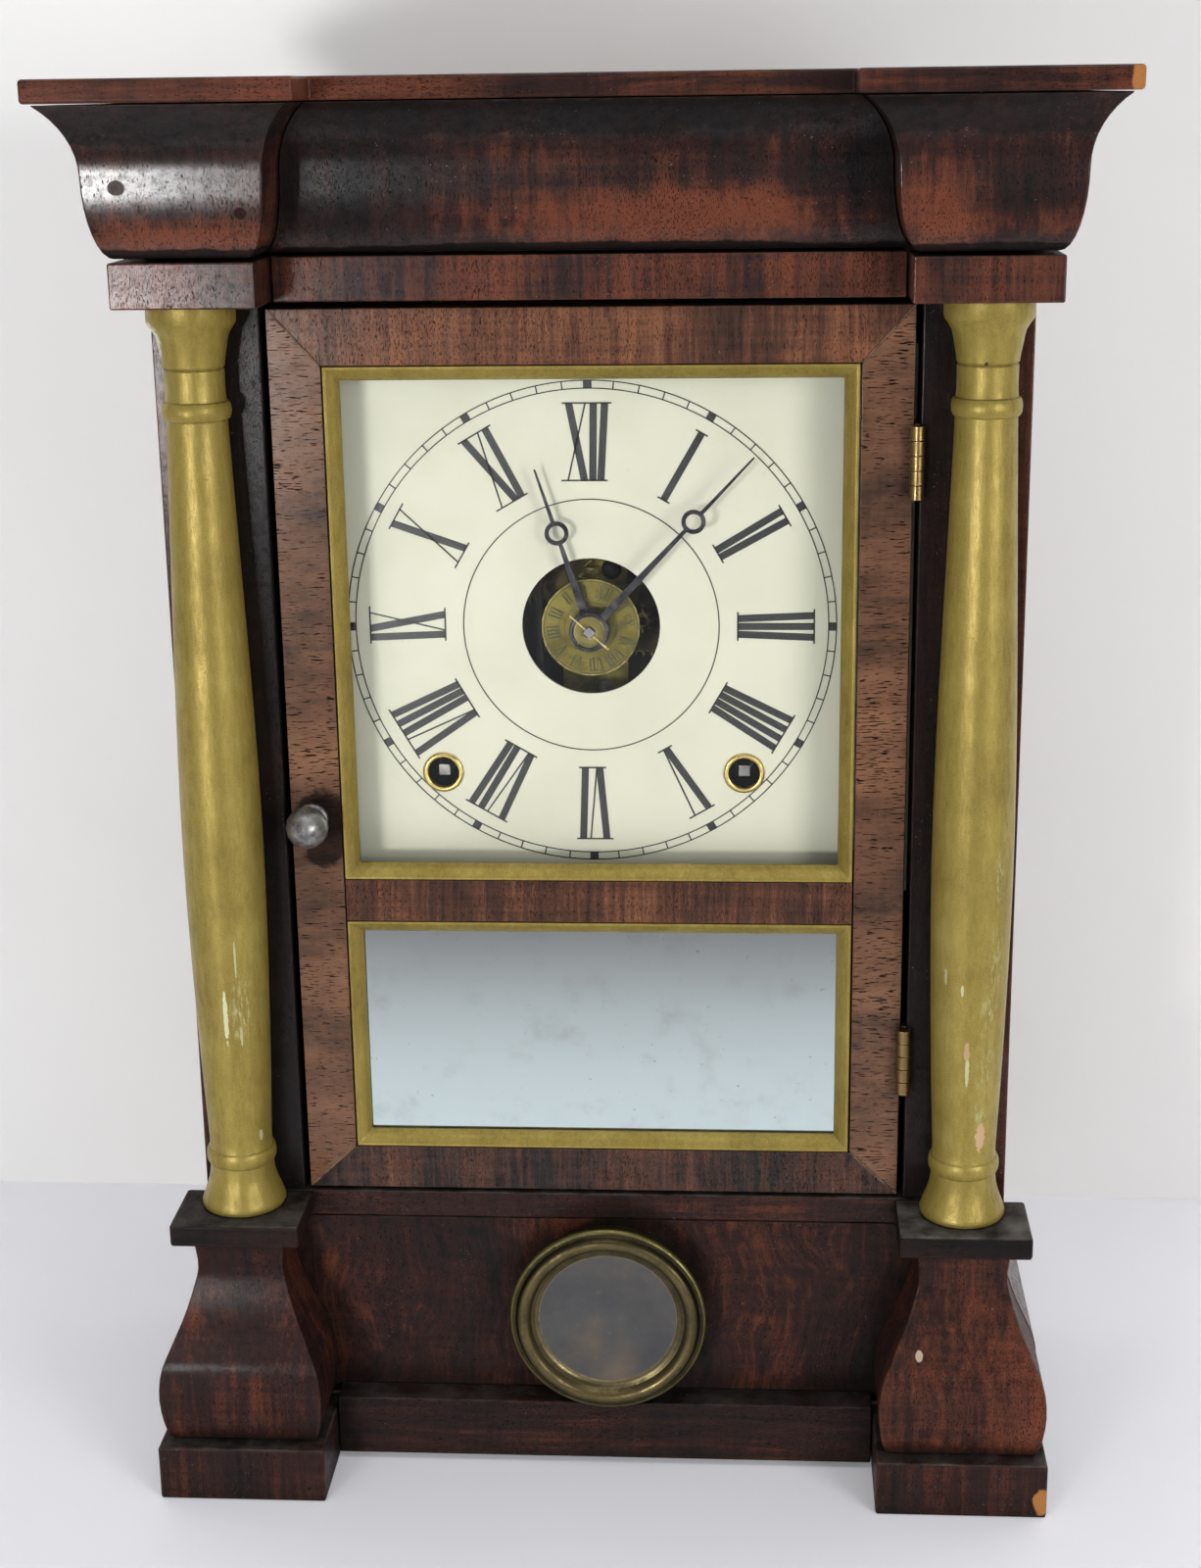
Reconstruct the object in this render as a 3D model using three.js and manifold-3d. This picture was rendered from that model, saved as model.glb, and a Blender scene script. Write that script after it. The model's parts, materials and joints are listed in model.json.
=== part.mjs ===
import * as THREE from 'three';
import { mergeVertices } from 'three/addons/utils/BufferGeometryUtils.js';
import Module from 'manifold-3d';

const wasm = await Module();
wasm.setup();

// Driving sizes in millimetres. Y runs back from the front plane of the case, Z up from the floor.
const caseWidth = 238;
const caseDepth = 82;
const plinthHeight = 17;
const pedestalHeight = 61.5;
const capThickness = 7;
const columnHeight = 262.5;
const friezeHeight = 12;
const shadowGap = 1;
const ogeeHeight = 39;
const filletHeight = 6;
const jointGap = 0.3;
const sideThickness = 9;
const backThickness = 8;
const stileThickness = 17;
const railThickness = 12;
const bottomThickness = 8;

// Cornice and frieze
const friezeOverhang = 4.6;
const friezeBlockWidth = 38.6;
const friezeProjection = 23.6;
const railProjection = 2.5;
const ogeeTuck = 1.7;
const ovoloWidth = 6.1;
const ovoloHeight = 21;
const coveRadius = 22;
const filletOverhang = 15.3;

// Columns, pedestals and base
const columnSpacing = 212;
const columnSetOut = 7.5;
const columnLip = 12;
const columnBelly = 11.4;
const capWidth = 38;
const capProjection = 24.7;
const plinthWidth = 49.6;
const plinthProjection = 33;
const plinthLedge = 10;
const neckWidth = 25.4;
const neckProjection = 18.5;
const bellyFlare = 11.5;
const skirtHeight = 20.8;
const skirtLift = 2;
const skirtProjection = 9;
const baseRailHeight = 8.2;
const panelRecess = 0.8;
const panelThickness = 8;
const roundelRadius = 29.4;
const roundelOffset = 2;
const roundelHeight = 49.8;

// Door
const openingWidth = 178.6;
const doorSideGap = 1.7;
const doorBottomGap = 0.8;
const doorTopGap = 2;
const doorSetBack = 1;
const doorThickness = 13;
const doorStileWidth = 14.3;
const doorTopRail = 15.6;
const doorBottomRail = 13.5;
const middleRailBottom = 170.9;
const middleRailHeight = 12.7;
const mouldingWidth = 4.2;
const mouldingDepth = 4.6;
const glassThickness = 2;
const knobInset = 6.1;
const knobHeight = 202;
const knobRadius = 6.1;
const spindleRadius = 1.5;
const tongueLength = 11;
const tongueWidth = 6;
const tongueThickness = 1.6;

// Hinges
const hingeLength = 20;
const upperHingeHeight = 304;
const lowerHingeHeight = 130;
const barrelRadius = 2;
const hingePinRadius = 0.85;
const leafThickness = 0.5;
const leafDepth = 11.6;

// Dial and hands
const dialOffset = -1.7;
const dialHeight = 254.8;
const dialPlateWidth = 188;
const dialPlateHeight = 158;
const dialThickness = 0.8;
const dialHoleRadius = 19.7;
const windingSpread = 43.7;
const windingDrop = 43.3;
const eyeletRadius = 5.95;
const eyeletHole = 4.5;
const alarmRadius = 14;
const hourHandLength = 48;
const minuteHandLength = 67.5;
const hourHandAngle = -18.1;
const minuteHandAngle = 43.3;
const handThickness = 1;
const handHub = 5.8;
const handStem = 1.2;
const handNeck = 0.55;
const handPoint = 0.25;
const handRing = 3.4;
const handBand = 1.2;
const hourRingAt = 29;
const minuteRingAt = 43;

// Movement
const plateStart = 34;
const plateThickness = 1.5;
const plateSpacing = 25;
const plateWidth = 122;
const plateTop = 59;
const plateBottom = 66;
const gearModule = 0.72;
const cannonTeeth = 10;
const minuteTeeth = 30;
const minutePinionTeeth = 8;
const hourTeeth = 32;
const arborRadius = 1.8;
const pipeRadius = 3.2;
const runningGap = 0.3;
const springRadius = 20;
const escapeTeeth = 30;
const escapeRadius = 16;
const escapeLift = 19.2;
const escapeOffset = 15;
const vergeRise = 22;
const palletSpan = 5.5;
const suspensionRise = 31;
const pendulumLength = 175;
const bobRadius = 20;
const bobThickness = 9;
const gongRadius = 32;
const gongTurns = 4;
const gongWire = 1.1;
const gongOffset = 6;
const gongHeight = 140;

// Levels and planes that follow from the sizes
const capBottom = plinthHeight + pedestalHeight;
const capTop = capBottom + capThickness;
const friezeBottom = capTop + columnHeight;
const ogeeBottom = friezeBottom + friezeHeight + shadowGap;
const filletBottom = ogeeBottom + ogeeHeight;
const totalHeight = filletBottom + filletHeight;
const caseHalf = caseWidth / 2;
const innerHalf = caseHalf - sideThickness - jointGap;
const columnX = columnSpacing / 2;
const blockOuter = caseHalf + friezeOverhang;
const blockInner = blockOuter - friezeBlockWidth;
const corniceFront = friezeProjection + filletOverhang;
const caseFrontY = corniceFront - (caseDepth + corniceFront) / 2;
const backFront = caseDepth - backThickness;
const plinthTop = plinthHeight + jointGap;
const openingHalf = openingWidth / 2;
const doorHalf = openingHalf - doorSideGap;
const doorBottom = capTop + doorBottomGap;
const doorTop = friezeBottom - doorTopGap;
const doorBack = doorSetBack + doorThickness;
const windowHalf = doorHalf - doorStileWidth;
const glassFront = doorSetBack + mouldingDepth;
const dialFront = stileThickness + jointGap;
const dialBack = dialFront + dialThickness;
const plateBack = plateStart + plateThickness;
const rearPlate = plateBack + plateSpacing;
const windingHeight = dialHeight - windingDrop;
const leftWinding = dialOffset - windingSpread;
const rightWinding = dialOffset + windingSpread;
const gearDistance = (cannonTeeth + minuteTeeth) * gearModule / 2;
const escapeX = dialOffset - escapeOffset;
const escapeZ = dialHeight + escapeLift;
const vergeZ = escapeZ + vergeRise;
const suspensionZ = escapeZ + suspensionRise;
const hammerX = dialOffset - 28.3;
const hammerZ = dialHeight - 14.8;

const clock = new THREE.Group();
clock.name = 'column_clock';
const body = new THREE.Group();
body.position.y = caseFrontY;
clock.add(body);

const finishes = {
  rosewood: { color: 0x2e140c, roughness: 0.45, metalness: 0 },
  darkWood: { color: 0x1c100b, roughness: 0.6, metalness: 0 },
  pine: { color: 0x9a7448, roughness: 0.8, metalness: 0 },
  gilt: { color: 0xa8863a, roughness: 0.5, metalness: 0.5 },
  brass: { color: 0xb8923e, roughness: 0.35, metalness: 0.9 },
  steel: { color: 0x23262c, roughness: 0.4, metalness: 0.8 },
  pewter: { color: 0x77777a, roughness: 0.4, metalness: 0.8 },
  dial: { color: 0xe4dcc2, roughness: 0.6, metalness: 0 },
  mirror: { color: 0xaebac4, roughness: 0.05, metalness: 1 },
  glass: { color: 0xdfe8e6, roughness: 0.05, metalness: 0, transparent: true, opacity: 0.25 },
};

function signedVolume(geometry) {
  const place = geometry.attributes.position;
  const count = geometry.index ? geometry.index.count : place.count;
  const entry = (i) => (geometry.index ? geometry.index.getX(i) : i);
  const corner = (i) => new THREE.Vector3().fromBufferAttribute(place, entry(i));
  let sum = 0;
  for (let i = 0; i < count; i += 3) {
    sum += corner(i).dot(corner(i + 1).cross(corner(i + 2)));
  }
  return sum / 6;
}

function weld(geometry) {
  const plain = geometry.clone();
  plain.deleteAttribute('normal');
  plain.deleteAttribute('uv');
  const welded = mergeVertices(plain, 1e-4);
  const kept = [];
  const index = welded.index.array;
  for (let i = 0; i < index.length; i += 3) {
    const [a, b, c] = [index[i], index[i + 1], index[i + 2]];
    if (a !== b && b !== c && a !== c) {
      kept.push(a, b, c);
    }
  }
  welded.setIndex(kept);
  return welded;
}

function faceOut(geometry) {
  const welded = weld(geometry);
  if (signedVolume(welded) < 0) {
    const index = welded.index.array;
    for (let i = 0; i < index.length; i += 3) {
      [index[i], index[i + 1]] = [index[i + 1], index[i]];
    }
  }
  return welded;
}

function toSolid(geometry) {
  const welded = faceOut(geometry);
  return new wasm.Manifold(new wasm.Mesh({
    numProp: 3,
    vertProperties: new Float32Array(welded.attributes.position.array),
    triVerts: new Uint32Array(welded.index.array),
  }));
}

function fromSolid(solid) {
  const mesh = solid.getMesh();
  const geometry = new THREE.BufferGeometry();
  geometry.setAttribute('position', new THREE.BufferAttribute(new Float32Array(mesh.vertProperties), 3));
  geometry.setIndex(new THREE.BufferAttribute(new Uint32Array(mesh.triVerts), 1));
  return geometry;
}

function join(first, ...others) {
  return fromSolid(others.reduce((sum, piece) => sum.add(toSolid(piece)), toSolid(first)));
}

function cut(first, ...others) {
  return fromSolid(others.reduce((rest, piece) => rest.subtract(toSolid(piece)), toSolid(first)));
}

function add(name, geometry, finish) {
  const solid = faceOut(geometry);
  solid.computeVertexNormals();
  const mesh = new THREE.Mesh(solid, new THREE.MeshStandardMaterial(finishes[finish]));
  mesh.name = name;
  body.add(mesh);
}

function box(x0, x1, y0, y1, z0, z1) {
  const geometry = new THREE.BoxGeometry(x1 - x0, y1 - y0, z1 - z0);
  return geometry.translate((x0 + x1) / 2, (y0 + y1) / 2, (z0 + z1) / 2);
}

function outline(points) {
  const corners = points.map(([x, y]) => new THREE.Vector2(x, y));
  return new THREE.Shape(THREE.ShapeUtils.isClockWise(corners) ? corners.reverse() : corners);
}

// An outline drawn in the front view, given a depth from y0 back to y1.
function sheet(shape, y0, y1, curveSegments = 12) {
  const geometry = new THREE.ExtrudeGeometry(shape, { depth: y1 - y0, bevelEnabled: false, curveSegments });
  return geometry.rotateX(Math.PI / 2).translate(0, y1, 0);
}

// An outline drawn in the plan view, given a height from z0 up to z1.
function slab(shape, z0, z1) {
  const geometry = new THREE.ExtrudeGeometry(shape, { depth: z1 - z0, bevelEnabled: false });
  return geometry.translate(0, 0, z0);
}

function rod(radius, y0, y1, x, z, sides = 12) {
  const geometry = new THREE.CylinderGeometry(radius, radius, y1 - y0, sides);
  return geometry.translate(x, (y0 + y1) / 2, z);
}

function turned(points, sides, x, z) {
  const geometry = new THREE.LatheGeometry(points.map(([r, y]) => new THREE.Vector2(r, y)), sides);
  return geometry.translate(x, 0, z);
}

function hole(x, y, radius) {
  const path = new THREE.Path();
  path.absarc(x, y, radius, 0, Math.PI * 2, true);
  return path;
}

function squareHole(half) {
  return new THREE.Path([[half, half], [half, -half], [-half, -half], [-half, half]]
    .map(([x, y]) => new THREE.Vector2(x, y)));
}

// A closed body through plan outlines of equal point count, one for each height.
function loft(drawn) {
  const flat = (points) => points.map(([x, y]) => new THREE.Vector2(x, y));
  const reversed = THREE.ShapeUtils.isClockWise(flat(drawn[0].points));
  const levels = drawn.map(({ z, points }) => ({ z, points: reversed ? [...points].reverse() : points }));
  const count = levels[0].points.length;
  const vertices = levels.flatMap(({ z, points }) => points.flatMap(([x, y]) => [x, y, z]));
  const faces = [];
  for (let level = 0; level + 1 < levels.length; level += 1) {
    for (let i = 0; i < count; i += 1) {
      const a = level * count + i;
      const b = level * count + (i + 1) % count;
      faces.push(a, b, b + count, a, b + count, a + count);
    }
  }
  const last = (levels.length - 1) * count;
  const ends = (points) => THREE.ShapeUtils.triangulateShape(flat(points), []);
  ends(levels[0].points).forEach(([a, b, c]) => faces.push(c, b, a));
  ends(levels.at(-1).points).forEach(([a, b, c]) => faces.push(last + a, last + b, last + c));
  const geometry = new THREE.BufferGeometry();
  geometry.setAttribute('position', new THREE.Float32BufferAttribute(vertices, 3));
  geometry.setIndex(faces);
  return geometry;
}

// A mitred rectangular frame whose section lists [inset, y] round its edge.
function mitredFrame(section, half, z0, z1) {
  const vertices = section.flatMap(([inset, y]) => [
    -half + inset, y, z0 + inset,
    half - inset, y, z0 + inset,
    half - inset, y, z1 - inset,
    -half + inset, y, z1 - inset,
  ]);
  const faces = [];
  section.forEach((point, i) => {
    const next = (i + 1) % section.length;
    for (let side = 0; side < 4; side += 1) {
      const other = (side + 1) % 4;
      faces.push(i * 4 + side, i * 4 + other, next * 4 + other);
      faces.push(i * 4 + side, next * 4 + other, next * 4 + side);
    }
  });
  const geometry = new THREE.BufferGeometry();
  geometry.setAttribute('position', new THREE.Float32BufferAttribute(vertices, 3));
  geometry.setIndex(faces);
  return geometry;
}

const sides = [['left', -1], ['right', 1]];

// Cornice: the ogee is an ovolo below and a cove above, measured out from the frieze.
const ogee = new THREE.Path();
ogee.absellipse(-ogeeTuck, ovoloHeight, ovoloWidth, ovoloHeight, -Math.PI / 2, 0, false, 0);
const coveAngle = Math.asin((ogeeHeight - jointGap - ovoloHeight) / coveRadius);
ogee.absarc(ovoloWidth - ogeeTuck + coveRadius, ovoloHeight, coveRadius, Math.PI, Math.PI - coveAngle, true);
const ogeeLevels = ogee.getPoints(4).map((point) => ({ out: point.x, z: ogeeBottom + point.y }));

function blockPlan(side, out) {
  return [
    [side * (blockInner - out), -friezeProjection - out],
    [side * (blockOuter + out), -friezeProjection - out],
    [side * (blockOuter + out), caseDepth],
    [side * (caseHalf + jointGap), caseDepth],
    [side * (caseHalf + jointGap), -jointGap],
    [side * (blockInner - out), -jointGap],
  ];
}

const filletOuter = blockOuter + filletOverhang;
const filletInner = blockInner - filletOverhang;
const filletCentre = -railProjection - filletOverhang;
add('cornice_top', slab(outline([
  [-filletOuter, -corniceFront], [-filletInner, -corniceFront], [-filletInner, filletCentre],
  [filletInner, filletCentre], [filletInner, -corniceFront], [filletOuter, -corniceFront],
  [filletOuter, caseDepth], [-filletOuter, caseDepth],
]), filletBottom, totalHeight), 'rosewood');
add('cornice_centre', loft(ogeeLevels.map(({ out, z }) => {
  const half = blockInner - out - jointGap;
  const front = -railProjection - out;
  return { z, points: [[-half, front], [half, front], [half, railThickness], [-half, railThickness]] };
})), 'rosewood');
add('frieze_rail', box(
  jointGap - blockInner, blockInner - jointGap, -railProjection, railThickness,
  friezeBottom, friezeBottom + friezeHeight,
), 'rosewood');
for (const [word, side] of sides) {
  const blockLevels = ogeeLevels.map(({ out, z }) => ({ z, points: blockPlan(side, out) }));
  add(`${word}_cornice_block`, loft(blockLevels), 'rosewood');
  const friezePlan = outline(blockPlan(side, 0));
  add(`${word}_frieze_block`, slab(friezePlan, friezeBottom, friezeBottom + friezeHeight), 'rosewood');
}

// Columns: turned, then cut flat at the back where they lie against the stiles.
const columnTop = columnHeight - 2 * jointGap;
const shaftBottom = 21.5;
const shaftTop = columnTop - 33.6;
const shaftLength = shaftTop - shaftBottom;
const columnLine = new THREE.Path();
columnLine.moveTo(0, 0);
columnLine.lineTo(columnLip, 0);
columnLine.splineThru(
  [[columnLip + 0.3, 1], [11.2, 4.5], [9.9, 8], [9.3, 12.5]].map((p) => new THREE.Vector2(...p)),
);
columnLine.absellipse(9.3, 16, 0.9, 2.4, -Math.PI / 2, Math.PI / 2, false, 0);
columnLine.lineTo(9.1, shaftBottom);
columnLine.splineThru([
  [10.45, shaftBottom + shaftLength * 0.17], [columnBelly, shaftBottom + shaftLength * 0.4],
  [10.45, shaftBottom + shaftLength * 0.69], [8.4, shaftTop],
].map((p) => new THREE.Vector2(...p)));
columnLine.absellipse(8.3, columnTop - 27.7, 1.2, 2.6, -Math.PI / 2, Math.PI / 2, false, 0);
columnLine.lineTo(8.15, columnTop - 19.5);
columnLine.lineTo(8.2, columnTop - 16.9);
columnLine.lineTo(7.8, columnTop - 16.4);
columnLine.lineTo(8.3, columnTop - 15.9);
columnLine.splineThru([[9.1, columnTop - 11], [9.8, columnTop - 7.7], [columnLip, columnTop - 4]]
  .map((p) => new THREE.Vector2(...p)));
columnLine.lineTo(columnLip, columnTop);
columnLine.lineTo(0, columnTop);
for (const [word, side] of sides) {
  const turning = new THREE.LatheGeometry(columnLine.getPoints(2), 18).rotateX(Math.PI / 2);
  turning.translate(side * columnX, -columnSetOut, capTop + jointGap);
  const behind = box(
    side * columnX - capWidth, side * columnX + capWidth, -jointGap, capWidth, 0, totalHeight,
  );
  add(`${word}_column`, cut(turning, behind), 'gilt');
}

// Base: the ogee of the pedestals, measured out from the neck, runs back along the case sides.
const flare = new THREE.SplineCurve([
  [0.07, 1], [0, 0.86], [0.09, 0.77], [0.35, 0.62], [0.7, 0.47],
  [0.93, 0.36], [1, 0.22], [0.91, 0.07], [0.78, 0],
].map(([out, up]) => new THREE.Vector2(out * bellyFlare, up)));
const pedestalRise = pedestalHeight - 2 * jointGap;
const flareLevels = flare
  .getPoints(20)
  .reverse()
  .map((p) => ({ out: p.x, z: plinthTop + p.y * pedestalRise }));
for (const [word, side] of sides) {
  const x = side * columnX;
  add(`${word}_pedestal_cap`, box(
    x - capWidth / 2, x + capWidth / 2, -capProjection, -jointGap, capBottom, capTop,
  ), 'darkWood');
  add(`${word}_pedestal`, loft(flareLevels.map(({ out, z }) => {
    const half = neckWidth / 2 + out;
    const front = -neckProjection - out;
    const back = -jointGap;
    return { z, points: [[x - half, front], [x + half, front], [x + half, back], [x - half, back]] };
  })), 'rosewood');
  const outer = columnX + plinthWidth / 2;
  const inner = columnX - plinthWidth / 2;
  const ledge = innerHalf - plinthLedge;
  add(`${word}_plinth`, slab(outline([
    [side * inner, -plinthProjection], [side * outer, -plinthProjection], [side * outer, caseDepth],
    [side * ledge, caseDepth], [side * ledge, 0], [side * inner, 0],
  ]), 0, plinthHeight), 'rosewood');
  const top = filletBottom - jointGap;
  add(`${word}_case_side`, sheet(outline([
    [side * (caseHalf - sideThickness), top],
    [side * (caseHalf - sideThickness), plinthTop],
    ...flareLevels.map(({ out, z }) => [side * (caseHalf + out), z]),
    [side * caseHalf, capTop],
    [side * caseHalf, top],
  ]), 0, caseDepth), 'darkWood');
  const inside = side * openingHalf;
  const outside = side * innerHalf;
  const stile = box(
    Math.min(inside, outside), Math.max(inside, outside), 0, stileThickness, capTop + jointGap, top,
  );
  const notch = box(
    -openingHalf - 5, 1 - openingHalf, doorBack - 0.2, stileThickness + 1,
    knobHeight - tongueLength - 2, knobHeight + tongueWidth / 2 + 2,
  );
  add(`${word}_front_stile`, side < 0 ? cut(stile, notch) : stile, 'darkWood');
}
add(
  'back_board',
  box(-innerHalf, innerHalf, backFront, caseDepth, plinthTop, filletBottom - jointGap),
  'pine',
);
add('bottom_board', box(
  -innerHalf, innerHalf, panelRecess + panelThickness + jointGap, backFront - jointGap,
  plinthTop, plinthTop + bottomThickness,
), 'pine');
add(
  'base_top_rail',
  box(-innerHalf, innerHalf, 0, railThickness, capTop - baseRailHeight, capTop),
  'rosewood',
);
add('base_panel', box(
  -innerHalf, innerHalf, panelRecess, panelRecess + panelThickness,
  plinthTop, capTop - baseRailHeight - jointGap,
), 'rosewood');
const skirtHalf = columnX - plinthWidth / 2 - jointGap;
add('base_skirt', box(
  -skirtHalf, skirtHalf, -skirtProjection, panelRecess - jointGap, skirtLift, skirtHeight,
), 'rosewood');
const rimY = -skirtProjection - jointGap;
add('brass_roundel', turned([
  [0, panelRecess - jointGap], [roundelRadius - 4, panelRecess - jointGap], [roundelRadius - 3.6, rimY + 0.6],
  [roundelRadius - 0.6, rimY], [roundelRadius, rimY - 0.9], [roundelRadius - 0.5, rimY - 1.9],
  [roundelRadius - 1.8, rimY - 2.2], [roundelRadius - 2.4, rimY - 3.4], [roundelRadius - 4, rimY - 4.2],
  [roundelRadius - 5.6, rimY - 3.6], [roundelRadius - 6.4, rimY - 2], [roundelRadius - 7.4, rimY - 1.7],
  [roundelRadius - 8.6, rimY - 0.9], [0, rimY - 0.9],
], 30, roundelOffset, roundelHeight), 'brass');

// Door: mitred corners, the middle rail between the stiles, glass behind the gilt mouldings.
const upperBottom = middleRailBottom + middleRailHeight;
const upperTop = doorTop - doorTopRail;
const lowerBottom = doorBottom + doorBottomRail;
const seam = jointGap / 2;
for (const [word, side] of sides) {
  const shape = outline([
    [side * doorHalf, doorBottom + seam], [side * doorHalf, doorTop - seam],
    [side * windowHalf, upperTop - seam], [side * windowHalf, lowerBottom + seam],
  ]);
  if (side < 0) {
    shape.holes.push(hole(knobInset - doorHalf, knobHeight, spindleRadius + runningGap));
  }
  add(`door_${word}_stile`, sheet(shape, doorSetBack, doorBack, 6), 'rosewood');
}
add('door_top_rail', sheet(outline([
  [-doorHalf + seam, doorTop], [doorHalf - seam, doorTop],
  [windowHalf - seam, upperTop], [seam - windowHalf, upperTop],
]), doorSetBack, doorBack), 'rosewood');
add('door_bottom_rail', sheet(outline([
  [-doorHalf + seam, doorBottom], [doorHalf - seam, doorBottom],
  [windowHalf - seam, lowerBottom], [seam - windowHalf, lowerBottom],
]), doorSetBack, doorBack), 'rosewood');
add('door_middle_rail', box(
  jointGap - windowHalf, windowHalf - jointGap, doorSetBack, doorBack, middleRailBottom, upperBottom,
), 'rosewood');
const mouldingSection = [
  [0.1, doorSetBack - 0.3], [0.9, doorSetBack - 0.3], [1.5, doorSetBack + 0.3], [2.6, doorSetBack + 1.1],
  [3.4, doorSetBack + 2.3], [mouldingWidth, doorSetBack + 3.4],
  [mouldingWidth, glassFront - jointGap], [0.1, glassFront - jointGap],
];
const mouldingHalf = windowHalf - jointGap;
add('upper_gilt_moulding', mitredFrame(mouldingSection, mouldingHalf, upperBottom, upperTop), 'gilt');
add(
  'lower_gilt_moulding',
  mitredFrame(mouldingSection, mouldingHalf, lowerBottom, middleRailBottom),
  'gilt',
);
const paneHalf = windowHalf - jointGap;
add('dial_glass', box(
  -paneHalf, paneHalf, glassFront, glassFront + glassThickness, upperBottom + jointGap, upperTop - jointGap,
), 'glass');
add('mirror', box(
  -paneHalf, paneHalf, glassFront, glassFront + glassThickness,
  lowerBottom + jointGap, middleRailBottom - jointGap,
), 'mirror');
const knobX = knobInset - doorHalf;
const ballY = doorSetBack - 9;
const ball = [-75, -50, -25, 0, 25, 50].map((degrees) => {
  const turn = THREE.MathUtils.degToRad(degrees);
  return [knobRadius * Math.cos(turn), ballY + knobRadius * Math.sin(turn)];
});
const tongueFront = doorBack + 0.5;
const knobTurning = turned([
  [0, ballY - knobRadius], ...ball, [2.6, ballY + 6.2],
  [4.7, doorSetBack - 1.7], [4.7, doorSetBack - jointGap],
  [spindleRadius, doorSetBack - jointGap], [spindleRadius, tongueFront + tongueThickness - 0.1],
  [0, tongueFront + tongueThickness - 0.1],
], 16, knobX, knobHeight);
add('door_knob', join(knobTurning, box(
  knobX - tongueWidth / 2, knobX + tongueWidth / 2, tongueFront, tongueFront + tongueThickness,
  knobHeight - tongueLength, knobHeight + tongueWidth / 2,
)), 'pewter');

// Hinges: five knuckles, three on the case leaf with its pin and two on the door leaf.
const leafGap = (doorSideGap - 2 * leafThickness) / 3;
const doorLeafX = doorHalf + leafGap;
const caseLeafX = doorLeafX + leafThickness + leafGap;
const hingeX = (doorLeafX + caseLeafX + leafThickness) / 2;
const hingeY = -barrelRadius + 0.1;
const leafStart = hingeY + barrelRadius + 0.3;
const knuckle = hingeLength / 5;
for (const [word, centre] of [['upper', upperHingeHeight], ['lower', lowerHingeHeight]]) {
  const bottom = centre - hingeLength / 2;
  const barrel = (radius, z0, z1) => new THREE.CylinderGeometry(radius, radius, z1 - z0, 12)
    .rotateX(Math.PI / 2).translate(hingeX, hingeY, (z0 + z1) / 2);
  const leafEnd = leafStart + leafDepth;
  const leaf = (x) => box(x, x + leafThickness, leafStart, leafEnd, bottom, bottom + hingeLength);
  const casePieces = [];
  const doorPieces = [];
  for (let i = 0; i < 5; i += 1) {
    const z0 = bottom + i * knuckle + 0.12;
    const z1 = bottom + (i + 1) * knuckle - 0.12;
    const x = i % 2 === 0 ? caseLeafX : doorLeafX;
    const tab = box(x, x + leafThickness, hingeY + 1.3, leafStart + 0.5, z0, z1);
    if (i % 2 === 0) {
      casePieces.push(barrel(barrelRadius, z0, z1), tab);
    } else {
      const bore = barrel(hingePinRadius + runningGap, z0 - 1, z1 + 1);
      doorPieces.push(cut(barrel(barrelRadius, z0, z1), bore), tab);
    }
  }
  const pin = barrel(hingePinRadius, bottom + 0.2, bottom + hingeLength - 0.2);
  add(`${word}_hinge_case_leaf`, join(leaf(caseLeafX), ...casePieces, pin), 'brass');
  add(`${word}_hinge_door_leaf`, join(leaf(doorLeafX), ...doorPieces), 'brass');
}

// Dial, eyelets, alarm disc and hands
const dialShape = outline([
  [-dialPlateWidth / 2, dialHeight - dialPlateHeight / 2],
  [dialPlateWidth / 2, dialHeight - dialPlateHeight / 2],
  [dialPlateWidth / 2, dialHeight + dialPlateHeight / 2],
  [-dialPlateWidth / 2, dialHeight + dialPlateHeight / 2],
]);
dialShape.holes.push(
  hole(dialOffset, dialHeight, dialHoleRadius),
  hole(leftWinding, windingHeight, eyeletHole + 0.7),
  hole(rightWinding, windingHeight, eyeletHole + 0.7),
);
add('dial_plate', sheet(dialShape, dialFront, dialBack, 12), 'dial');
for (const [word, x] of [['left', leftWinding], ['right', rightWinding]]) {
  add(`${word}_winding_eyelet`, turned([
    [eyeletHole, dialFront - 0.5], [eyeletHole + 0.6, dialFront - 0.9], [eyeletRadius - 0.3, dialFront - 0.7],
    [eyeletRadius, dialFront - 0.2], [eyeletHole + 0.4, dialFront - 0.2], [eyeletHole + 0.4, dialBack + 0.4],
    [eyeletHole, dialBack + 0.4], [eyeletHole, dialFront - 0.5],
  ], 16, x, windingHeight), 'brass');
}

function handShape(length, ringAt, bore) {
  const shape = new THREE.Shape();
  const atHub = Math.asin(handStem / handHub);
  const atRing = Math.asin(handNeck / handRing);
  shape.moveTo(handStem, handHub * Math.cos(atHub));
  shape.absarc(0, ringAt, handRing, -Math.PI / 2 + atRing, Math.PI / 2 - atRing, false);
  shape.lineTo(handPoint, length);
  shape.lineTo(-handPoint, length);
  shape.absarc(0, ringAt, handRing, Math.PI / 2 + atRing, Math.PI * 1.5 - atRing, false);
  shape.absarc(0, 0, handHub, Math.PI / 2 + atHub, Math.PI * 2.5 - atHub, false);
  shape.holes.push(bore, hole(0, ringAt, handRing - handBand));
  return shape;
}

function hang(geometry, angle) {
  const turn = THREE.MathUtils.degToRad(angle);
  return geometry.rotateY(turn).translate(dialOffset, 0, dialHeight);
}

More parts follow.
